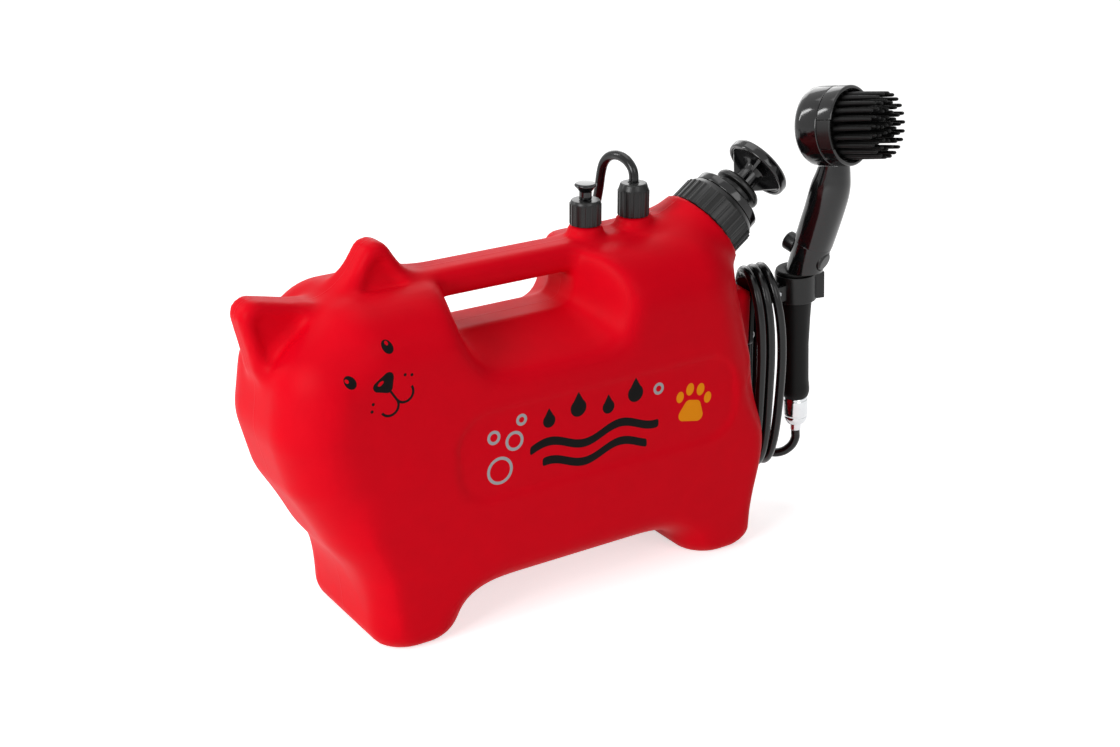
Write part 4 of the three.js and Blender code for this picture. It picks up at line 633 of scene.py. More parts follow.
def orange_motif(x, z):
    """A paw: one broad pad and four toes."""
    u, v = turned(x, z, PAW_PLACE, PAW_TURN)
    beside = abs(u)
    pad = hull_outline(u, v, ((-6.5, -7), (6.5, -7), (3, 0), (-3, 0)), 4.5)
    toes = least(oval(beside - 4.8, v - 12.5, 3.4, 4.6), oval(beside - 12.6, v - 6.5, 3.2, 4.2))
    return least(pad, toes)


# %% The red plastic
RED = 0xdc0018
PRINTS = {0x0e0c0c: (face_print, black_motifs), 0xa9adb0: (grey_motifs,), 0xf4940f: (orange_motif,)}
INK_EDGE = 0.35
PRINTED_BEYOND, PRINTED_EDGE = 40, 2
PARTING_HALF, PARTING_EDGE = 0.5, 0.7

finish = Finish("red_plastic", Specular_IOR_Level=0.06)
waviness = finish.noise(38, detail=1)
clouds = finish.noise(16, detail=3)
grain = finish.noise(0.8)
parting = step_down(abs(finish.y) - PARTING_HALF, PARTING_EDGE)
printed_side = step_down(finish.y + PRINTED_BEYOND, PRINTED_EDGE)
colour = finish.mix(clouds, linear(RED, 0.93), linear(RED, 1.04))
masks = []
for ink, motifs in PRINTS.items():
    shape = reduce(least, [motif(finish.x, finish.z) for motif in motifs])
    masks.append(step_down(shape, INK_EDGE) * printed_side)
    colour = finish.mix(masks[-1], colour, linear(ink))
inked = masks[0] + masks[1] + masks[2]
red_plastic = finish.covered(
    colour=colour,
    roughness=0.5 + 0.08 * (clouds - 0.5) + 0.05 * (grain - 0.5) - 0.06 * inked,
    height=0.25 * waviness + 0.012 * grain + 0.1 * parting + 0.03 * inked,
)
print("red plastic:", len(red_plastic.node_tree.nodes), "nodes")

# %% The tank's sizes
HALF_WIDTH = 64
BODY_X, BODY_LENGTH, BODY_Z, BODY_HEIGHT, BODY_CORNER, FLANK_ROUND = -40.5, 299, 82, 120, 44, 42
BODY_SHARES = (
    (0.932, 1), (0.08, 1), (0.012, 0.88), (0, 0.69), (0.022, 0.475),
    (0.092, 0.189), (0.199, 0), (1, 0), (1, 0.1), (0.988, 0.495),
)
BELLY = {"x": (4, 262), "z": (29, 130), "round": 24, "fillet": 34}
LEG = {"x": (4, 262), "half": 30.5, "z": (0, 96), "round": 26, "sole": 14, "fillet": 56}
FLANK_FILLET, SOLE_FILLET = 5, 3
EAR_CORNERS, EAR_ROUND, EAR_HALF_THICK, EAR_RIM = ((-17, -12), (17, -12), (0, 15)), 11, 13, 7
EAR_PLACES = {"rear": ((5, 249), 0), "front": ((-71, 229), 45)}
EAR_FILLET = 18
DISH = {"share": 0.62, "depth": 2.0, "half": 20, "slope": 9, "fade": 4}
RIDGE = {"x": (-20, 236), "z": (229, 249), "half": 16.5, "round": 8, "fillet": 9}
GRIP_FLOOR, SIDE_FLOOR, WALL_TOP = 206, 184, 272
FRONT_WALL = {"grip": (53, 35), "side": (53, 13)}
REAR_WALL = {"grip": (153, 159), "side": (173, 179)}
CHANNEL_ROUND, CHANNEL_SIDE_ROUND, CHANNEL_RIM, CHANNEL_EASE = 16, 42, 14, 0.95
PANEL = {"x": (32, 265), "z": (98, 162), "round": 25, "depth": 1.3, "from_y": 30, "slope": 4}
BOSS_X, BOSS_RADIUS, BOSS_Z, BOSS_RIM, BOSS_FILLET = (174.3, 215.5), 12.4, (235, 257), 1.5, 7
PAD = {"x": (270, 300), "y": (-35, -1), "z": (148, 194), "round": 5, "rim": 2, "fillet": 4}
NECK_RADIUS, NECK_RIM, NECK_FOOT, NECK_LIP, NECK_FILLET = 33, 2, -60, -0.6, 30
BORE_RADIUS, BORE_REACH, LIP_ROUND, MOUTH_ROUND = 21.5, (-135, 15), 1, 2
CAVITY = {"x": (-52, 258), "half": 50, "z": (62, 170), "round": 34, "fillet": 8}

# %% The body, its legs, its belly and its ears
def body_form(x, y, z):
    corners = [(BODY_X + u * BODY_LENGTH, BODY_Z + v * BODY_HEIGHT) for u, v in BODY_SHARES]
    form = slab(hull_outline(x, z, corners, BODY_CORNER), y, HALF_WIDTH, FLANK_ROUND)
    whole_width = (-HALF_WIDTH, HALF_WIDTH)
    barrel = box_outline(y, z, whole_width, BELLY["z"], BELLY["round"])
    form = least(form, greatest(barrel, outside(x, BELLY["x"])), BELLY["fillet"])
    for leg_x in LEG["x"]:
        plan = box_outline(x, y, (leg_x - LEG["half"], leg_x + LEG["half"]), whole_width, LEG["round"])
        form = least(form, slab(plan, *span(z, LEG["z"]), LEG["sole"]), LEG["fillet"])
    form = greatest(form, abs(y) - HALF_WIDTH, FLANK_FILLET)
    return greatest(form, -z, SOLE_FILLET)


def with_ears(form, x, y, z):
    """Add the ears, each with a shallow dish in both faces."""
    small = [(a * DISH["share"], b * DISH["share"]) for a, b in EAR_CORNERS]
    for place, turn in EAR_PLACES.values():
        across, up = turned(x, z, place, turn)
        ear = slab(hull_outline(across, up, EAR_CORNERS, EAR_ROUND), y, EAR_HALF_THICK, EAR_RIM)
        form = least(form, ear, EAR_FILLET)
        dish = hull_outline(across, up, small, EAR_ROUND * DISH["share"])
        within = step_down(dish, DISH["slope"]) * step_down(abs(y) - DISH["half"], DISH["fade"])
        form = form + DISH["depth"] * within
    return form


# %% The grip, the panels, the neck and what stands on the shoulder
def with_grip(form, x, y, z):
    """Cut the channel for the hand, whose floor falls to both sides, and lay the grip bar over it."""
    share = greatest(least((abs(y) - RIDGE["half"]) / (HALF_WIDTH - RIDGE["half"]), 1), 0)

    def blended(at_grip, at_side):
        return at_grip + (at_side - at_grip) * share

    floor = blended(GRIP_FLOOR, SIDE_FLOOR)
    rise = (z - floor) / (WALL_TOP - SIDE_FLOOR)

    def wall(ends):
        (low, high), (side_low, side_high) = ends["grip"], ends["side"]
        return blended(low, side_low) + rise * blended(high - low, side_high - side_low)

    channel = greatest(wall(FRONT_WALL) - x, x - wall(REAR_WALL)) * CHANNEL_EASE
    rounding = blended(CHANNEL_ROUND, CHANNEL_SIDE_ROUND)
    channel = greatest(channel, (floor - z) * CHANNEL_EASE, rounding)
    form = greatest(form, -channel, CHANNEL_RIM)
    ridge = slab(boxed(x, z, "xz", RIDGE), y, RIDGE["half"], RIDGE["round"])
    return least(form, ridge, RIDGE["fillet"])


def with_fittings(form, x, y, z):
    """Sink the panels, and add the bosses of the two caps and the pad of the bracket."""
    panel = boxed(x, z, "xz", PANEL)
    flank = step_down(PANEL["from_y"] - abs(y), PANEL["slope"])
    form = form + PANEL["depth"] * step_down(panel, PANEL["slope"]) * flank
    for boss_x in BOSS_X:
        boss = slab(reach(x - boss_x, y) - BOSS_RADIUS, *span(z, BOSS_Z), BOSS_RIM)
        form = least(form, boss, BOSS_FILLET)
    pad = slab(boxed(y, z, "yz", PAD), *span(x, PAD["x"]), PAD["rim"])
    return least(form, pad, PAD["fillet"])


def with_neck(form, x, y, z):
    """Add the sloping neck, and hollow the tank out from its mouth."""
    to_pump = PUMP.inverted()
    side, up = (x * to_pump[row][0] + z * to_pump[row][2] + to_pump[row][3] for row in (0, 2))
    radius = reach(side, y)
    neck = slab(radius - NECK_RADIUS, *span(up, (NECK_FOOT, NECK_LIP)), NECK_RIM)
    form = greatest(least(form, neck, NECK_FILLET), up - NECK_LIP, LIP_ROUND)
    hollow = slab(boxed(x, z, "xz", CAVITY), y, CAVITY["half"], CAVITY["round"])
    bore = greatest(radius - BORE_RADIUS, outside(up, BORE_REACH))
    return greatest(form, -least(hollow, bore, CAVITY["fillet"]), MOUTH_ROUND)


# %% Geometry trees
def evaluated(tree, mesh=None, **sizes):
    """The mesh that a geometry tree makes of a mesh, with the sizes on its named inputs."""
    carrier = placed("carrier", mesh or bpy.data.meshes.new("empty"))
    modifier = carrier.modifiers.new("nodes", "NODES")
    modifier.node_group = tree
    for item in tree.interface.items_tree:
        if item.in_out == "INPUT" and item.name in sizes:
            modifier[item.identifier] = sizes[item.name]
    made = bpy.data.meshes.new_from_object(carrier.evaluated_get(bpy.context.evaluated_depsgraph_get()))
    bpy.data.objects.remove(carrier)
    return made


def geometry_tree(name, **inputs):
    """An empty geometry tree with named number inputs, the wire of its geometry, and a wire per input."""
    tree = bpy.data.node_groups.new(name, "GeometryNodeTree")
    for label, kind in {"Geometry": "Geometry", **inputs}.items():
        tree.interface.new_socket(label, in_out="INPUT", socket_type="NodeSocket" + kind)
    tree.interface.new_socket("Geometry", in_out="OUTPUT", socket_type="NodeSocketGeometry")
    given = Wire(tree).node("NodeGroupInput")
    return tree, given, {label: given.other(label) for label in inputs}


def end_tree(geometry, finish):
    """End a tree as the export needs it: instances made real, and a material set."""
    made = geometry.geo("RealizeInstances", Geometry=geometry)
    made = made.geo("SetMaterial", Geometry=made, Material=finish)
    made.node("NodeGroupOutput", inputs={"Geometry": made})


# %% The tank's skin
GRID_STEP = 2.5
GRID_LOW, GRID_HIGH = (-97.5, -67.5, -5.0), (305.0, 67.5, 282.5)
TANK_CREASE = math.radians(80)

tank_tree, given, _ = geometry_tree("tank_form")
x, y, z = given.geo("InputPosition").times(MILLIMETRES).split()
form = body_form(x, y, z)
for add in (with_grip, with_ears, with_fittings, with_neck):
    form = add(form, x, y, z)
counts = {
    f"Resolution_{axis}": round((high - low) / GRID_STEP)
    for axis, low, high in zip("XYZ", GRID_LOW, GRID_HIGH)
}
grid = given.geo(
    "VolumeCube", Density=-form, Background=-1.0, Min=metres(GRID_LOW), Max=metres(GRID_HIGH), **counts,
)
end_tree(grid.geo("VolumeToMesh", Volume=grid, Threshold=0.0), red_plastic)
tank_mesh = evaluated(tank_tree)
tank_mesh.transform(TO_METRES.inverted())
piece("tank_skin", tank_mesh, TANK, red_plastic, "tank", "tank_shell", crease=TANK_CREASE)

# %% [markdown]
# ## Turned pieces
# Most black and metal pieces are round, so each is half a section swept round its axis. Real mould edges are
# never sharp: `rounded` gives every corner a small arc, which catches the light as a thin line, and `lathe`
# sweeps the section. Where it doesn't touch the axis, the sweep closes on itself and leaves a bore.

# %% Sections and sweeps
ARC_STEPS = 4
EDGE_SHARE = 0.4
SHORTEST_ARC = 0.02
NEARLY_STRAIGHT = 0.998
ON_AXIS = 1e-6


def rounded(section, radius):
    """A section of (across, up) points with arcs at its corners, which leave part of each edge straight."""
    made = []
    for k, corner in enumerate(section):
        corner = Vector(corner)
        to_before = Vector(section[k - 1]) - corner
        to_after = Vector(section[(k + 1) % len(section)]) - corner
        trim = min(radius, EDGE_SHARE * to_before.length, EDGE_SHARE * to_after.length)
        straightness = abs(to_before.normalized().dot(to_after.normalized()))
        if corner.x == 0 or trim < SHORTEST_ARC or straightness > NEARLY_STRAIGHT:
            made.append(corner)
            continue
        start, end = corner + to_before.normalized() * trim, corner + to_after.normalized() * trim
        for t in (j / ARC_STEPS for j in range(ARC_STEPS + 1)):
            made.append((1 - t) ** 2 * start + 2 * t * (1 - t) * corner + t * t * end)
    return made


def lathe(section, sides=72, soft=0.4, radius_at=None):
    """A section swept round Z. radius_at may change a point's radius by its angle and height."""
    vertices, rings = [], []
    for across, up in rounded(section, soft):
        if across < ON_AXIS:
            rings.append([len(vertices)] * sides)
            vertices.append((0, 0, up))
            continue
        rings.append(list(range(len(vertices), len(vertices) + sides)))
        for angle in around(sides):
            radius = radius_at(across, up, angle) if radius_at else across
            vertices.append((radius * math.cos(angle), radius * math.sin(angle), up))
    faces = []
    for low, high in zip(rings, [*rings[1:], rings[0]]):
        for k in range(sides):
            corners = (low[k], low[(k + 1) % sides], high[(k + 1) % sides], high[k])
            loop = tuple(c for n, c in enumerate(corners) if c != corners[n - 1])
            if len(loop) > 2:
                faces.append(loop)
    return mesh_of(vertices, faces)


# %% [markdown]
# The collar and both caps are gripped by hand, so their walls are ribbed. Geometry Nodes set one rib on each
# point of a circle, turned outwards, and join them all to the turned body.

# %% Ribs round a cap
RIB_SIDES = 10
RIB_FLATTENED = (0.75, 1.0, 1.0)

ribs_tree, given, size = geometry_tree(
    "ribs", Count="Int", Radius="Float", Height="Float", Foot="Float", Width="Float",
)
ring = given.geo("MeshCircle", Vertices=size["Count"], Radius=size["Radius"])
ring = ring.geo("Transform", Geometry=ring, Translation=ring.vector(Z=size["Foot"] + size["Height"] / 2))
rib = given.geo(
    "MeshCylinder", Vertices=RIB_SIDES, Side_Segments=1, Radius=size["Width"] / 2, Depth=size["Height"],
)
flat_place = ring.geo("InputPosition").times((1.0, 1.0, 0.0))
outwards = ring.node("FunctionNodeAlignRotationToVector", {"axis": "X"}, {"Vector": flat_place})
ribs = ring.geo("InstanceOnPoints", Points=ring, Instance=rib, Rotation=outwards, Scale=RIB_FLATTENED)
end_tree(ribs.geo("JoinGeometry", Geometry=[given, ribs]), black_plastic)


def ribbed(mesh, count, radius, low, high, width):
    """A turned mesh with ribs round it between two heights."""
    return evaluated(ribs_tree, mesh, Count=count, Radius=radius, Height=high - low, Foot=low, Width=width)


# %% Relief valve
CAP_OUTSIDE, CAP_INSIDE, CAP_FOOT = 10.9, 8.5, 257.3
CAP_RIBS, CAP_RIB_RADIUS, CAP_RIB_FOOT, CAP_RIB_WIDTH = 18, 10.75, 257.6, 1.9


def cap(bore, roof, shoulder, rim, top, ribs_top, soft=0.4):
    """A ribbed cap: its wall stands on the tank, its shoulder leans in to a rim, and its roof has a bore."""
    section = [(bore, roof), (CAP_INSIDE, roof), (CAP_INSIDE, CAP_FOOT), (CAP_OUTSIDE, CAP_FOOT),
               (CAP_OUTSIDE, shoulder), (rim, top), (bore, top)]
    return ribbed(lathe(section, soft=soft), CAP_RIBS, CAP_RIB_RADIUS, CAP_RIB_FOOT, ribs_top, CAP_RIB_WIDTH)


RELIEF = standing((BOSS_X[0], 0, 0))
piece("relief_cap", cap(1.8, 270.9, 273, 10, 275, ribs_top=272.6), RELIEF, black_plastic, "tank",
      "relief_valve_cap")
stem = [(2.1, 246), (5.3, 246), (5.3, 268.3), (8.2, 268.3), (8.2, 270.6), (3.8, 270.6), (3.8, 248),
        (2.1, 248)]
piece("relief_body", lathe(stem), RELIEF, black_plastic, "tank", "relief_valve_body")
knob = [(0, 246.3), (1.5, 246.3), (1.5, 250.9), (3.1, 250.9), (3.1, 252), (1.5, 252), (1.5, 275.3),
        (4.5, 275.3), (4.5, 281), (6.9, 284), (7.9, 285), (7.9, 286), (6.9, 287), (0, 287)]
piece("relief_pull_knob", lathe(knob, soft=0.5), RELIEF, gloss_black, "relief", "relief_knob")

# %% Outlet
OUTLET = standing((BOSS_X[1], 0, 0))
piece("outlet_cap", cap(3.7, 272.4, 276.6, 9.4, 281, ribs_top=276.0, soft=0.8), OUTLET, black_plastic, "tank",
      "outlet_cap_nut")
barb = [(1.8, 240), (5.3, 240), (5.3, 270.1), (8.2, 270.1), (8.2, 272.1), (3.4, 272.1), (3.4, 281),
        (1.8, 281)]
piece("outlet_spigot", lathe(barb), OUTLET, black_plastic, "tank", "outlet_barb")

# %% [markdown]
# ## The pump
# A collar with a chamfered shoulder screws the pump into the neck. Above it come the cylinder's smooth head,
# a gland cap with a thin disc, and the plunger's mushroom handle on its webbed hub. The neck's thread shows
# when the pump is lifted out: turn after turn of a thin ridge that climbs as it goes round.

# %% Neck thread
THREAD_RADIUS, THREAD_DEPTH, THREAD_PITCH = 25.4, 1.3, 3.6
THREAD_FOOT, THREAD_TOP, THREAD_STEP = 1, 13.5, 0.4
NECK_TOP, NECK_SUNK = 14.9, -2


def climbing(across, up, angle):
    """The neck's outside, wavy in height and shifted by one pitch in a full turn."""
    if across < THREAD_RADIUS - 0.5 or not THREAD_FOOT < up < THREAD_TOP:
        return across
    wave = math.cos(2 * math.pi * (up / THREAD_PITCH - angle / (2 * math.pi)))
    return across + THREAD_DEPTH * max(0, wave) ** 2


step_count = math.ceil((NECK_TOP - NECK_SUNK) / THREAD_STEP) - 1
steps = [(THREAD_RADIUS, THREAD_STEP * k + NECK_SUNK) for k in range(step_count)]
neck = [(BORE_RADIUS, NECK_TOP), (BORE_RADIUS, NECK_SUNK), *steps, (THREAD_RADIUS, NECK_TOP)]
piece("neck_thread", lathe(neck, soft=0.05, radius_at=climbing), PUMP, red_plastic, "tank")

# %% Collar, cylinder, head and gland
FINE = 96

collar = [(27, 0.2), (30.1, 0.2), (30.1, 18.6), (27.2, 23), (20.5, 23), (20.5, 20.9), (27, 20.9)]
collar = ribbed(lathe(collar, soft=0.8, sides=FINE), count=30, radius=29.9, low=0.8, high=18.2, width=3.0)
piece("pump_collar", collar, PUMP, black_plastic, "collar", "pump_collar_nut")
barrel = [(17.5, -165), (20, -165), (20, 17.6), (26.4, 17.6), (26.4, 20.6), (20, 20.6), (20, 26), (17.5, 26)]
piece("pump_barrel", lathe(barrel), PUMP, black_plastic, "pump", "pump_cylinder")
top = [(5.6, 26.3), (20.3, 26.3), (20.3, 23.3), (27, 23.3), (27, 29.3), (25.6, 30.5), (5.6, 30.5)]
piece("pump_top", lathe(top, soft=0.9, sides=FINE), PUMP, gloss_black, "pump", "pump_head")
gland = [(7.9, 30.8), (14, 30.8), (14, 37.5), (17.5, 37.5), (18.5, 38.5), (18.5, 41), (17, 43), (5.3, 43),
         (5.3, 33.4), (7.9, 33.4)]
piece("gland_disc", lathe(gland, soft=0.6), PUMP, black_plastic, "pump", "gland_cap")

# %% Plunger
WEB = [(4.5, 45), (8.0, 45), (22.2, 60.6), (22.2, 62.5), (4.5, 62.5)]
WEB_HALF = 1.2

shaft = [(0, -145.4), (5, -145.4), (5, 53), (0, 53)]
piece("plunger_shaft", lathe(shaft, soft=0.6), PUMP, black_plastic, "plunger", "plunger_rod")
mushroom = [(0, 53.3), (5.3, 53.3), (5.3, 44), (8.2, 44), (8.2, 54.5), (9.2, 58.2), (12.7, 60.5),
            (22.9, 61.5), (23.4, 59.5), (25, 59.5), (25.5, 61), (25.5, 65.4), (24, 67.4), (15, 68.2),
            (0, 68.5)]
mushroom = lathe(mushroom, soft=0.7, sides=FINE)
piece("handle_mushroom", mushroom, PUMP, gloss_black, "plunger", "plunger_handle")
webs_tree, given, size = geometry_tree("webs", Count="Int")
turn_step = 2 * math.pi / size["Count"]
points = given.geo("Points", Count=size["Count"])
turns = points.vector(Z=turn_step * (points.geo("InputIndex") + 0.5))
end_tree(points.geo("InstanceOnPoints", Points=points, Instance=given, Rotation=turns), gloss_black)
webs = evaluated(webs_tree, prism(WEB, -WEB_HALF, WEB_HALF, "Y"), Count=4)
webs = piece("handle_webs", webs, PUMP, gloss_black, "plunger", "plunger_handle", crease=CRISP)
softened(webs, 0.3, 2)

# %% [markdown]
# ## The handset's grip
# The hose ends in a chromed nut with a tapered foot. The sleeve over the grip is one soft rubber moulding
# that swells towards the valve, with a thin collar at its top. The valve body above it holds one spool
# across, with a round button at each end.

# %% Ferrule, nut and sleeve
ferrule = [(1.8, 62.5), (4.4, 62.5), (4.4, 72.3), (6.4, 72.3), (6.4, 73.7), (1.8, 73.7)]
piece("ferrule", lathe(ferrule, sides=48), HANDSET, chrome, "hose_end", "hose_ferrule")
nut = [(4.7, 69), (7.6, 69), (8.9, 72), (9.3, 74), (8.9, 75.2), (9.6, 76.4), (9.6, 88.6), (9.0, 89.4),
       (9.0, 90.2), (8.6, 91), (6.7, 91), (6.7, 72), (4.7, 72)]
piece("swivel_nut", lathe(nut, sides=64, soft=0.6), HANDSET, chrome, "hose_end", "hose_nut")
sleeve = [(6.7, 91.3), (9.6, 91.3), (10.8, 95.3), (10.8, 99.3), (10.2, 105.3), (10.2, 135.3), (11.35, 157.3),
          (12.5, 173.2), (12.5, 194.8), (14.4, 194.8), (15, 195.8), (15, 196.8), (14.2, 197.8), (6.7, 197.8)]
piece("grip_rubber", lathe(sleeve, soft=2.5), HANDSET, rubber, "handset", "grip_sleeve")

# %% Cutting one piece with another
def cut(mesh, *cutters, how="DIFFERENCE"):
    """A mesh with others taken away from it, or joined to it, all drawn in the same frame."""
    used = [placed("carrier", shape) for shape in (mesh, *cutters)]
    for tool in used[1:]:
        modifier = used[0].modifiers.new("cut", "BOOLEAN")
        modifier.operation = how
        modifier.solver = "EXACT"
        modifier.object = tool
    made = bpy.data.meshes.new_from_object(used[0].evaluated_get(bpy.context.evaluated_depsgraph_get()))
    for each in used:
        bpy.data.objects.remove(each)
    return made


def rod(radius, low, high, place, sides=48):
    """A plain round bar along Z of a frame, to cut with."""
    mesh = lathe([(0, low), (radius, low), (radius, high), (0, high)], sides=sides, soft=0)
    mesh.transform(place)
    return mesh


# %% Valve body and buttons
ACROSS_VALVE = Matrix.Translation((0, 0, 14.5)) @ Matrix.Rotation(math.radians(90), 4, "Y")
POCKET_RADIUS, POCKET_FLOOR = 7.6, 5.2
CUT_WIDE, CUT_PAST = 40, 20
SLEEVE_TOP = 198.1

casing = cut(
    lathe([(0, -6), (13.4, -6), (13.4, 0), (13.9, 12), (14.2, 24.9), (0, 24.9)], sides=FINE, soft=0.4),
    rod(POCKET_RADIUS, POCKET_FLOOR, CUT_PAST, ACROSS_VALVE),
    rod(POCKET_RADIUS, -CUT_PAST, -POCKET_FLOOR, ACROSS_VALVE),
    rod(CUT_WIDE, -30, SLEEVE_TOP, VALVE.inverted() @ HANDSET, sides=24),
)
softened(piece("valve_casing", casing, VALVE, gloss_black, "handset", "valve_body"), 0.5)
spool = [(0, -21.9), (6, -21.9), (7.2, -20.7), (7.2, -12.5), (4.5, -12.5), (4.5, -4.9), (3.2, -4.9),
         (3.2, -3), (4.5, -3), (4.5, 5), (2.5, 5), (2.5, 11.2), (0, 11.2)]
button = [(0, 11.5), (2.8, 11.5), (2.8, 5.6), (7.2, 5.6), (7.2, 13.2), (6, 14.4), (0, 14.4)]
buttons = (("back_button", spool, "valve_spool"), ("front_button_cap", button, "front_button"))
for name, section, node in buttons:
    piece(name, lathe(section, sides=48, soft=0.7), VALVE @ ACROSS_VALVE, black_plastic, "valve", node)

# %% [markdown]
# The upper neck leans forward, bends back upright below the head and draws in there like a bottle's shoulder.
# No axis fits it, so it is a loft: an oval ring at each of a few heights, with its own lean, depth and width,
# and a smooth curve through each of these numbers.

# %% Upper neck
NECK_RINGS = (
    (13.6, 214.2, 19.5, 14.1, 14.1), (16.45, 222.35, 19.5, 14.2, 14.2), (20.9, 235.4, 19.5, 14.4, 14.3),
    (25.3, 248.5, 19.5, 14.4, 14.4), (29.2, 261.5, 15, 14.4, 14.6), (31.2, 270, 10, 13.8, 13.9),
    (32.6, 277, 6, 12.4, 12.6), (33.6, 284, 3, 11, 11.4), (33.9, 292, 0, 9.5, 10.4),
)
OVAL_SIDES = 64
SQUARENESS = 2.2
CASING_END = 25
SHELL_RADIUS, SHELL_BACK, SHELL_FRONT = 29.1, -18.8, 3.3


def oval_point(angle, deep, wide):
    """A point of an oval that is a little squarer than an ellipse."""
    cosine, sine = math.cos(angle), math.sin(angle)
    swell = (abs(cosine) ** SQUARENESS + abs(sine) ** SQUARENESS) ** (-1 / SQUARENESS)
    return Vector((deep * swell * cosine, wide * swell * sine, 0))


def loft(rings, steps=4):
    """Ovals through rings of (x, z, lean, half depth, half width), each in its own leaning plane."""
    places = through([Vector((x, z, 0)) for x, z, *_ in rings], steps)
    others = through([Vector(ring[2:]) for ring in rings], steps)
    return skinned([
        [standing((x, 0, z), tilt=lean) @ oval_point(angle, deep, wide) for angle in around(OVAL_SIDES)]
        for (x, z, _), (lean, deep, wide) in zip(places, others)
    ])


stem = cut(
    loft(NECK_RINGS), rod(CUT_WIDE, -40, CASING_END, HANDSET.inverted() @ VALVE, sides=24),
    rod(SHELL_RADIUS, SHELL_BACK, SHELL_FRONT, HANDSET.inverted() @ HEAD, sides=FINE),
)
softened(piece("neck_stem", stem, HANDSET, gloss_black, "handset", "upper_neck"), 0.4, angle=40)

# %% [markdown]
# ## The head
# A round shell with a soft back, a ring clipped on in front of it, and a brush on the ring. The latch is a
# strip of the ring's own wall that can be pressed in. The brush has rings of slim, round-tipped pins: one pin
# is turned, and Geometry Nodes set it on every point of each ring.

# %% Head shell and ring
HEAD_SIDES = 128
WINDOW = {"across": (-10.8, 10.8), "deep": (-40, -22.6), "along": (2, 20)}

shell = [(0, -18.5), (28.8, -18.5), (28.8, 3), (26.4, 3), (26.4, -16), (0, -16)]
piece("head_shell", lathe(shell, sides=HEAD_SIDES, soft=8.4), HEAD, gloss_black, "handset", "head_back_shell")
ring = [(21, 3.4), (28.8, 3.4), (28.8, 14), (27.8, 15), (26.4, 15), (26.4, 5.7), (21, 5.7)]
window = prism(box_corners(WINDOW["across"], WINDOW["deep"]), *WINDOW["along"], "Z")
ring = cut(lathe(ring, sides=HEAD_SIDES), window)
softened(piece("head_front_ring", ring, HEAD, gloss_black, "handset", "head_ring"), 0.3, 2)

# %% Latch
LATCH_HALF_ANGLE = math.radians(21.4)
LATCH_STEPS = 24
LATCH_CREASE = 0.4
LATCH_SECTION = ((26.8, 3.5), (28.8, 3.5), (28.8, 13.6), (29.2, 14.1), (28.4, 14.7), (26.8, 14.7))


def strip(section, half_angle, steps):
    """Part of a turned ring, centred on -Y and closed at both ends."""
    angles = [half_angle * (2 * k / steps - 1) - math.pi / 2 for k in range(steps + 1)]
    return skinned([[(r * math.cos(a), r * math.sin(a), up) for r, up in section] for a in angles])


latch = strip(LATCH_SECTION, LATCH_HALF_ANGLE, LATCH_STEPS)
softened(piece("latch_tab", latch, HEAD, black_plastic, "latch", "head_latch", crease=LATCH_CREASE), 0.25, 2)

# %% Spray plate
DRILL_SIDES, DRILL_LENGTH = 20, 60.0

perforated, given, size = geometry_tree("perforated", Count="Int", Ring="Float", Hole="Float")
holes = given.geo("MeshCircle", Vertices=size["Count"], Radius=size["Ring"])
drill = given.geo("MeshCylinder", Vertices=DRILL_SIDES, Radius=size["Hole"], Depth=DRILL_LENGTH)
drills = holes.geo("InstanceOnPoints", Points=holes, Instance=drill)
drills = drills.geo("RealizeInstances", Geometry=drills)
drilled = given.node("GeometryNodeMeshBoolean", {"operation": "DIFFERENCE"}, {0: given, 1: drills})
end_tree(drilled, rubber)
disc = lathe([(0, 6), (24.7, 6), (24.7, 8.5), (0, 8.5)], soft=0.3)
disc = evaluated(perforated, disc, Count=12, Ring=17.0, Hole=1.2)
piece("spray_disc", disc, HEAD, clear_grey, "handset", "spray_plate")

# %% Brush
PIN = [(0, 10.3), (2.3, 10.3), (2.1, 12.2), (1.9, 16), (1.35, 42), (1.25, 43.2), (0.85, 44.05), (0, 44.3)]
PIN_SIDES = 12
PIN_RINGS = ((22, 22.3), (16, 16.7), (11, 11.15), (6, 5.6), (1, 0.0))

pins_tree, given, size = geometry_tree("pins", Count="Int", Ring="Float", Phase="Float")
points = given.geo("Points", Count=size["Count"])
angle = (points.geo("InputIndex") + size["Phase"]) * (2 * math.pi / size["Count"])
cosine, sine = (angle.math(name, angle) for name in ("COSINE", "SINE"))
places = points.vector(X=size["Ring"] * cosine, Y=size["Ring"] * sine)
spread = points.geo("SetPosition", Geometry=points, Position=places)
end_tree(spread.geo("InstanceOnPoints", Points=spread, Instance=given), rubber)
base = lathe([(0, 8.8), (24.7, 8.8), (24.7, 10.6), (24, 11.3), (0, 11.3)], soft=0.4)
base = evaluated(perforated, base, Count=8, Ring=14.05, Hole=0.9)
brush = bmesh.new()
brush.from_mesh(base)
for number, (count, radius) in enumerate(PIN_RINGS):
    pin = lathe(PIN, sides=PIN_SIDES, soft=0)
    brush.from_mesh(evaluated(pins_tree, pin, Count=count, Ring=radius, Phase=number / 2))
brush.to_mesh(base)
brush.free()
piece("brush", base, HEAD, rubber, "brush", "brush_pins")

# %% [markdown]
# ## Bracket and clip
# A plate screwed to the tank's back carries a flat arm, a saddle for the loops, and a springy C-shaped clip
# whose two lips open for the grip. All are flat outlines made thick and joined, with their edges rounded by a
# bevel.

# %% Bracket
PLATE = {"x": (300.3, 303.5), "y": (-34, -2), "z": (149, 193), "round": 5}
ARM = {"x": (301.3, 332.6), "y": (-27, -21), "z": (176, 192), "round": 3}
SADDLE = ((-8, 190), (8, 190), (8, 197.8), (4, 199.9), (0.01, 200.6), (-4, 199.9), (-8, 197.8))
SADDLE_X = (300.5, 322)
EDGE_ROUND = 0.7

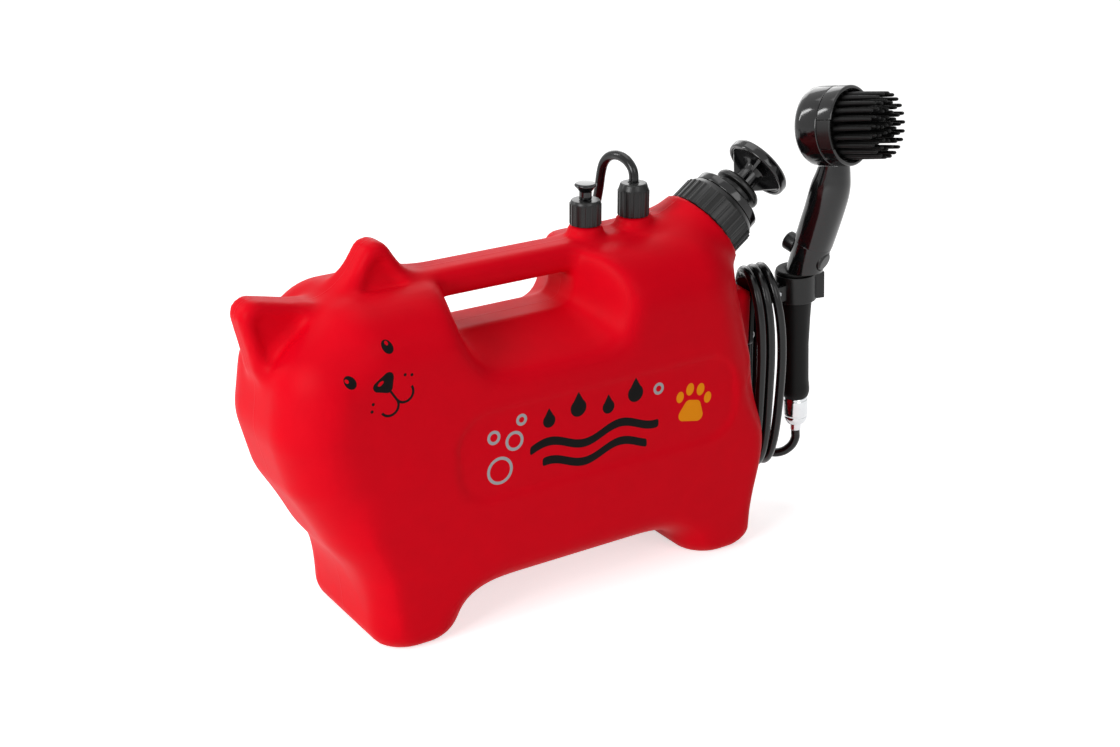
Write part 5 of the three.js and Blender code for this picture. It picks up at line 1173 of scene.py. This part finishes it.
plate = prism(rounded(box_corners(PLATE["y"], PLATE["z"]), PLATE["round"]), *PLATE["x"], "X")
arm = prism(rounded(box_corners(ARM["x"], ARM["z"]), ARM["round"]), *ARM["y"], "Y")
saddle = prism([(GRIP_Y + a, b) for a, b in SADDLE], *SADDLE_X, "X")
bracket = cut(plate, arm, saddle, how="UNION")
bracket = piece("bracket", bracket, TANK, black_plastic, "tank", "rear_bracket", crease=CRISP)
softened(bracket, EDGE_ROUND)

# %% Clip
CLIP_CENTRE_X, CLIP_INNER, CLIP_OUTER, CLIP_HALF_HEIGHT = 22.4, 12.8, 15.8, 10.5
MOUTH, LIP_ROOT = math.radians(40), math.radians(48)
LIP_INNER, LIP_OUTER = (17.8, 11.2), (16.75, 14.0)
CHEEK_X, CHEEK_Z, CHEEK_ROUND = (-4, 8.6), (-7.5, 4.5), 2
CHEEK_THICK, CHEEK_LOWS = 3, (-6.3, 3.3)
ARC_POINTS = 48


def arc(radius, start):
    """An arc of a circle about zero, from an angle to its mirror image the long way round."""
    turns = [start + (2 * math.pi - 2 * start) * k / ARC_POINTS for k in range(ARC_POINTS + 1)]
    return [(radius * math.cos(t), radius * math.sin(t)) for t in turns]


outline = [
    *arc(CLIP_OUTER, LIP_ROOT), (LIP_OUTER[0], -LIP_OUTER[1]), (LIP_INNER[0], -LIP_INNER[1]),
    *reversed(arc(CLIP_INNER, MOUTH)), LIP_INNER, LIP_OUTER,
]
outline = [(CLIP_CENTRE_X + a, b) for a, b in outline]
cheek = rounded(box_corners(CHEEK_X, CHEEK_Z), CHEEK_ROUND)
cheeks = [prism(cheek, low, low + CHEEK_THICK, "Y") for low in CHEEK_LOWS]
clip = cut(prism(outline, -CLIP_HALF_HEIGHT, CLIP_HALF_HEIGHT, "Z"), *cheeks, how="UNION")
clip = piece("clip", clip, CLIP, black_plastic, "tank", "handset_clip", crease=CRISP)
softened(clip, EDGE_ROUND)

# %% [markdown]
# ## Carried-over pieces
# Screws, seals, springs, the piston and the dip tube are right as the CAD model has them, and most are hidden
# inside. They keep their meshes and get the same finishes, by the record's own slots.

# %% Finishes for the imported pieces
FINISHES = {
    made.name: made
    for made in (red_plastic, black_plastic, gloss_black, rubber, hose_rubber, chrome, steel, clear_grey)
}
for subpart in frame["record"]["subparts"]:
    packed = frame["nodes"][subpart["node"]]
    for held in packed.material_slots:
        held.material = FINISHES[subpart["material_slot"]]

# %% [markdown]
# Two springs give way: the relief valve's when the knob is pulled, and the leaf behind the latch. Each gets
# a copy of its imported mesh, whose loose triangles are merged first.

# %% Copies of the two springs
RELIEF_TRAVEL, LATCH_TRAVEL = 0.005, 0.0015
LEAST_KEPT = 0.08


def spring(name, node, body, along, travel):
    """A copy of a packed spring, its loose triangles merged, put in place, and its thickness along a direction
    measured.
    """
    mesh = frame["nodes"][node].data.copy()
    work = bmesh.new()
    work.from_mesh(mesh)
    bmesh.ops.remove_doubles(work, verts=work.verts, dist=1e-6)
    work.to_mesh(mesh)
    work.free()
    mesh.transform(TO_METRES.inverted())
    made = piece(name, mesh, TANK, steel, body, node)
    reaches = [along.dot(vertex.co) for vertex in made.data.vertices]
    still = max(reaches)
    thick = still - min(reaches)
    keep = max(LEAST_KEPT, 1 - travel / thick)
    tuple(along * still)
    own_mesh(made)
    print(name, "is", round(thick / MM, 2), "mm thick")


spring("relief_coil_spring", "relief_spring", "tank", Vector((0, 0, 1)), RELIEF_TRAVEL)
latch_way = (HEAD.to_3x3() @ Vector((0, 1, 0))).normalized()
spring("latch_leaf_spring", "latch_spring", "handset", latch_way, LATCH_TRAVEL)

# %% [markdown]
# ## Floor, light and background
# The photograph is cut out on white. A pale floor keeps the object's soft shadow and fades into white far
# away. The world is bright to the camera and in reflections only, so it adds little light. Lamps stand round
# the object like the softboxes of a studio: the strongest on the head's side, which makes the flank a shade
# deeper than the face, and a narrow one that draws thin highlights along the glossy black parts.

# %% The world
WORLD_LIGHT = 0.2

world = bpy.data.worlds.new("studio")
world.use_nodes = True
bpy.context.scene.world = world
backdrop = world.node_tree.nodes["Background"]
rays = Wire(world.node_tree).node("ShaderNodeLightPath")
seen = greatest(rays, greatest(rays.other("Is Glossy Ray"), rays.other("Is Transmission Ray")))
world.node_tree.links.new((WORLD_LIGHT + (1 - WORLD_LIGHT) * seen).socket, backdrop.inputs["Strength"])
backdrop.inputs["Color"].default_value = (1, 1, 1, 1)
print("the world lights the object at", WORLD_LIGHT, "of white")

# %% The floor
FLOOR_HALF = 12.0
FLOOR_GLOW = 0.62
FLOOR_EDGE, FLOOR_FADE = 1300, 1400
BLACK, WHITE = (0, 0, 0), (1, 1, 1)

floor_mesh = bpy.data.meshes.new("floor")
floor_mesh.from_pydata([(-1, -1, 0), (1, -1, 0), (1, 1, 0), (-1, 1, 0)], [], [(0, 1, 2, 3)])
floor_mesh.transform(Matrix.Scale(FLOOR_HALF, 4))
finish = Finish("floor", Roughness=0.8, Emission_Strength=1.0)
rays = finish.place.node("ShaderNodeLightPath")
seen = greatest(rays, rays.other("Is Glossy Ray"))
far = 1 - step_down(reach(finish.x, finish.y) - FLOOR_EDGE, FLOOR_FADE)
tint = finish.mix(finish.noise(90), (0.86, 0.86, 0.86), (0.88, 0.88, 0.88))
finish.feed(
    Base_Color=finish.mix(far, tint, BLACK),
    Emission_Color=finish.mix(seen * (FLOOR_GLOW + (1 - FLOOR_GLOW) * far), BLACK, WHITE),
)
floor_mesh.materials.append(finish.material)
floor = placed("floor", floor_mesh)
print("the floor is", 2 * FLOOR_HALF, "m wide")

# %% The lamps
LAMPS = {
    "key": {"from": (-1.6, -0.5, 0.9), "wide": 0.9, "high": 0.9, "watts": 24},
    "front": {"from": (0.2, -2.0, 1.3), "wide": 1.0, "high": 1.0, "watts": 8},
    "top": {"from": (0.3, 0.4, 1.9), "wide": 1.2, "high": 1.2, "watts": 8},
    "behind": {"from": (1.1, 1.9, 1.0), "wide": 1.2, "high": 1.2, "watts": 9},
    "strip": {"from": (-0.9, 1.05, 1.05), "wide": 0.16, "high": 0.9, "watts": 6},
}
for name, lamp in LAMPS.items():
    light = bpy.data.lights.new(name, "AREA")
    light.shape = "RECTANGLE"
    light.size = lamp["wide"]
    light.size_y = lamp["high"]
    light.energy = lamp["watts"]
    stand = placed(name, light)
    stand.location = lamp["from"]
    stand.rotation_euler = (Vector(lamp["from"]) - TARGET).to_track_quat("Z", "Y").to_euler()
print("lamps:", {name: lamp["watts"] for name, lamp in LAMPS.items()}, "W")
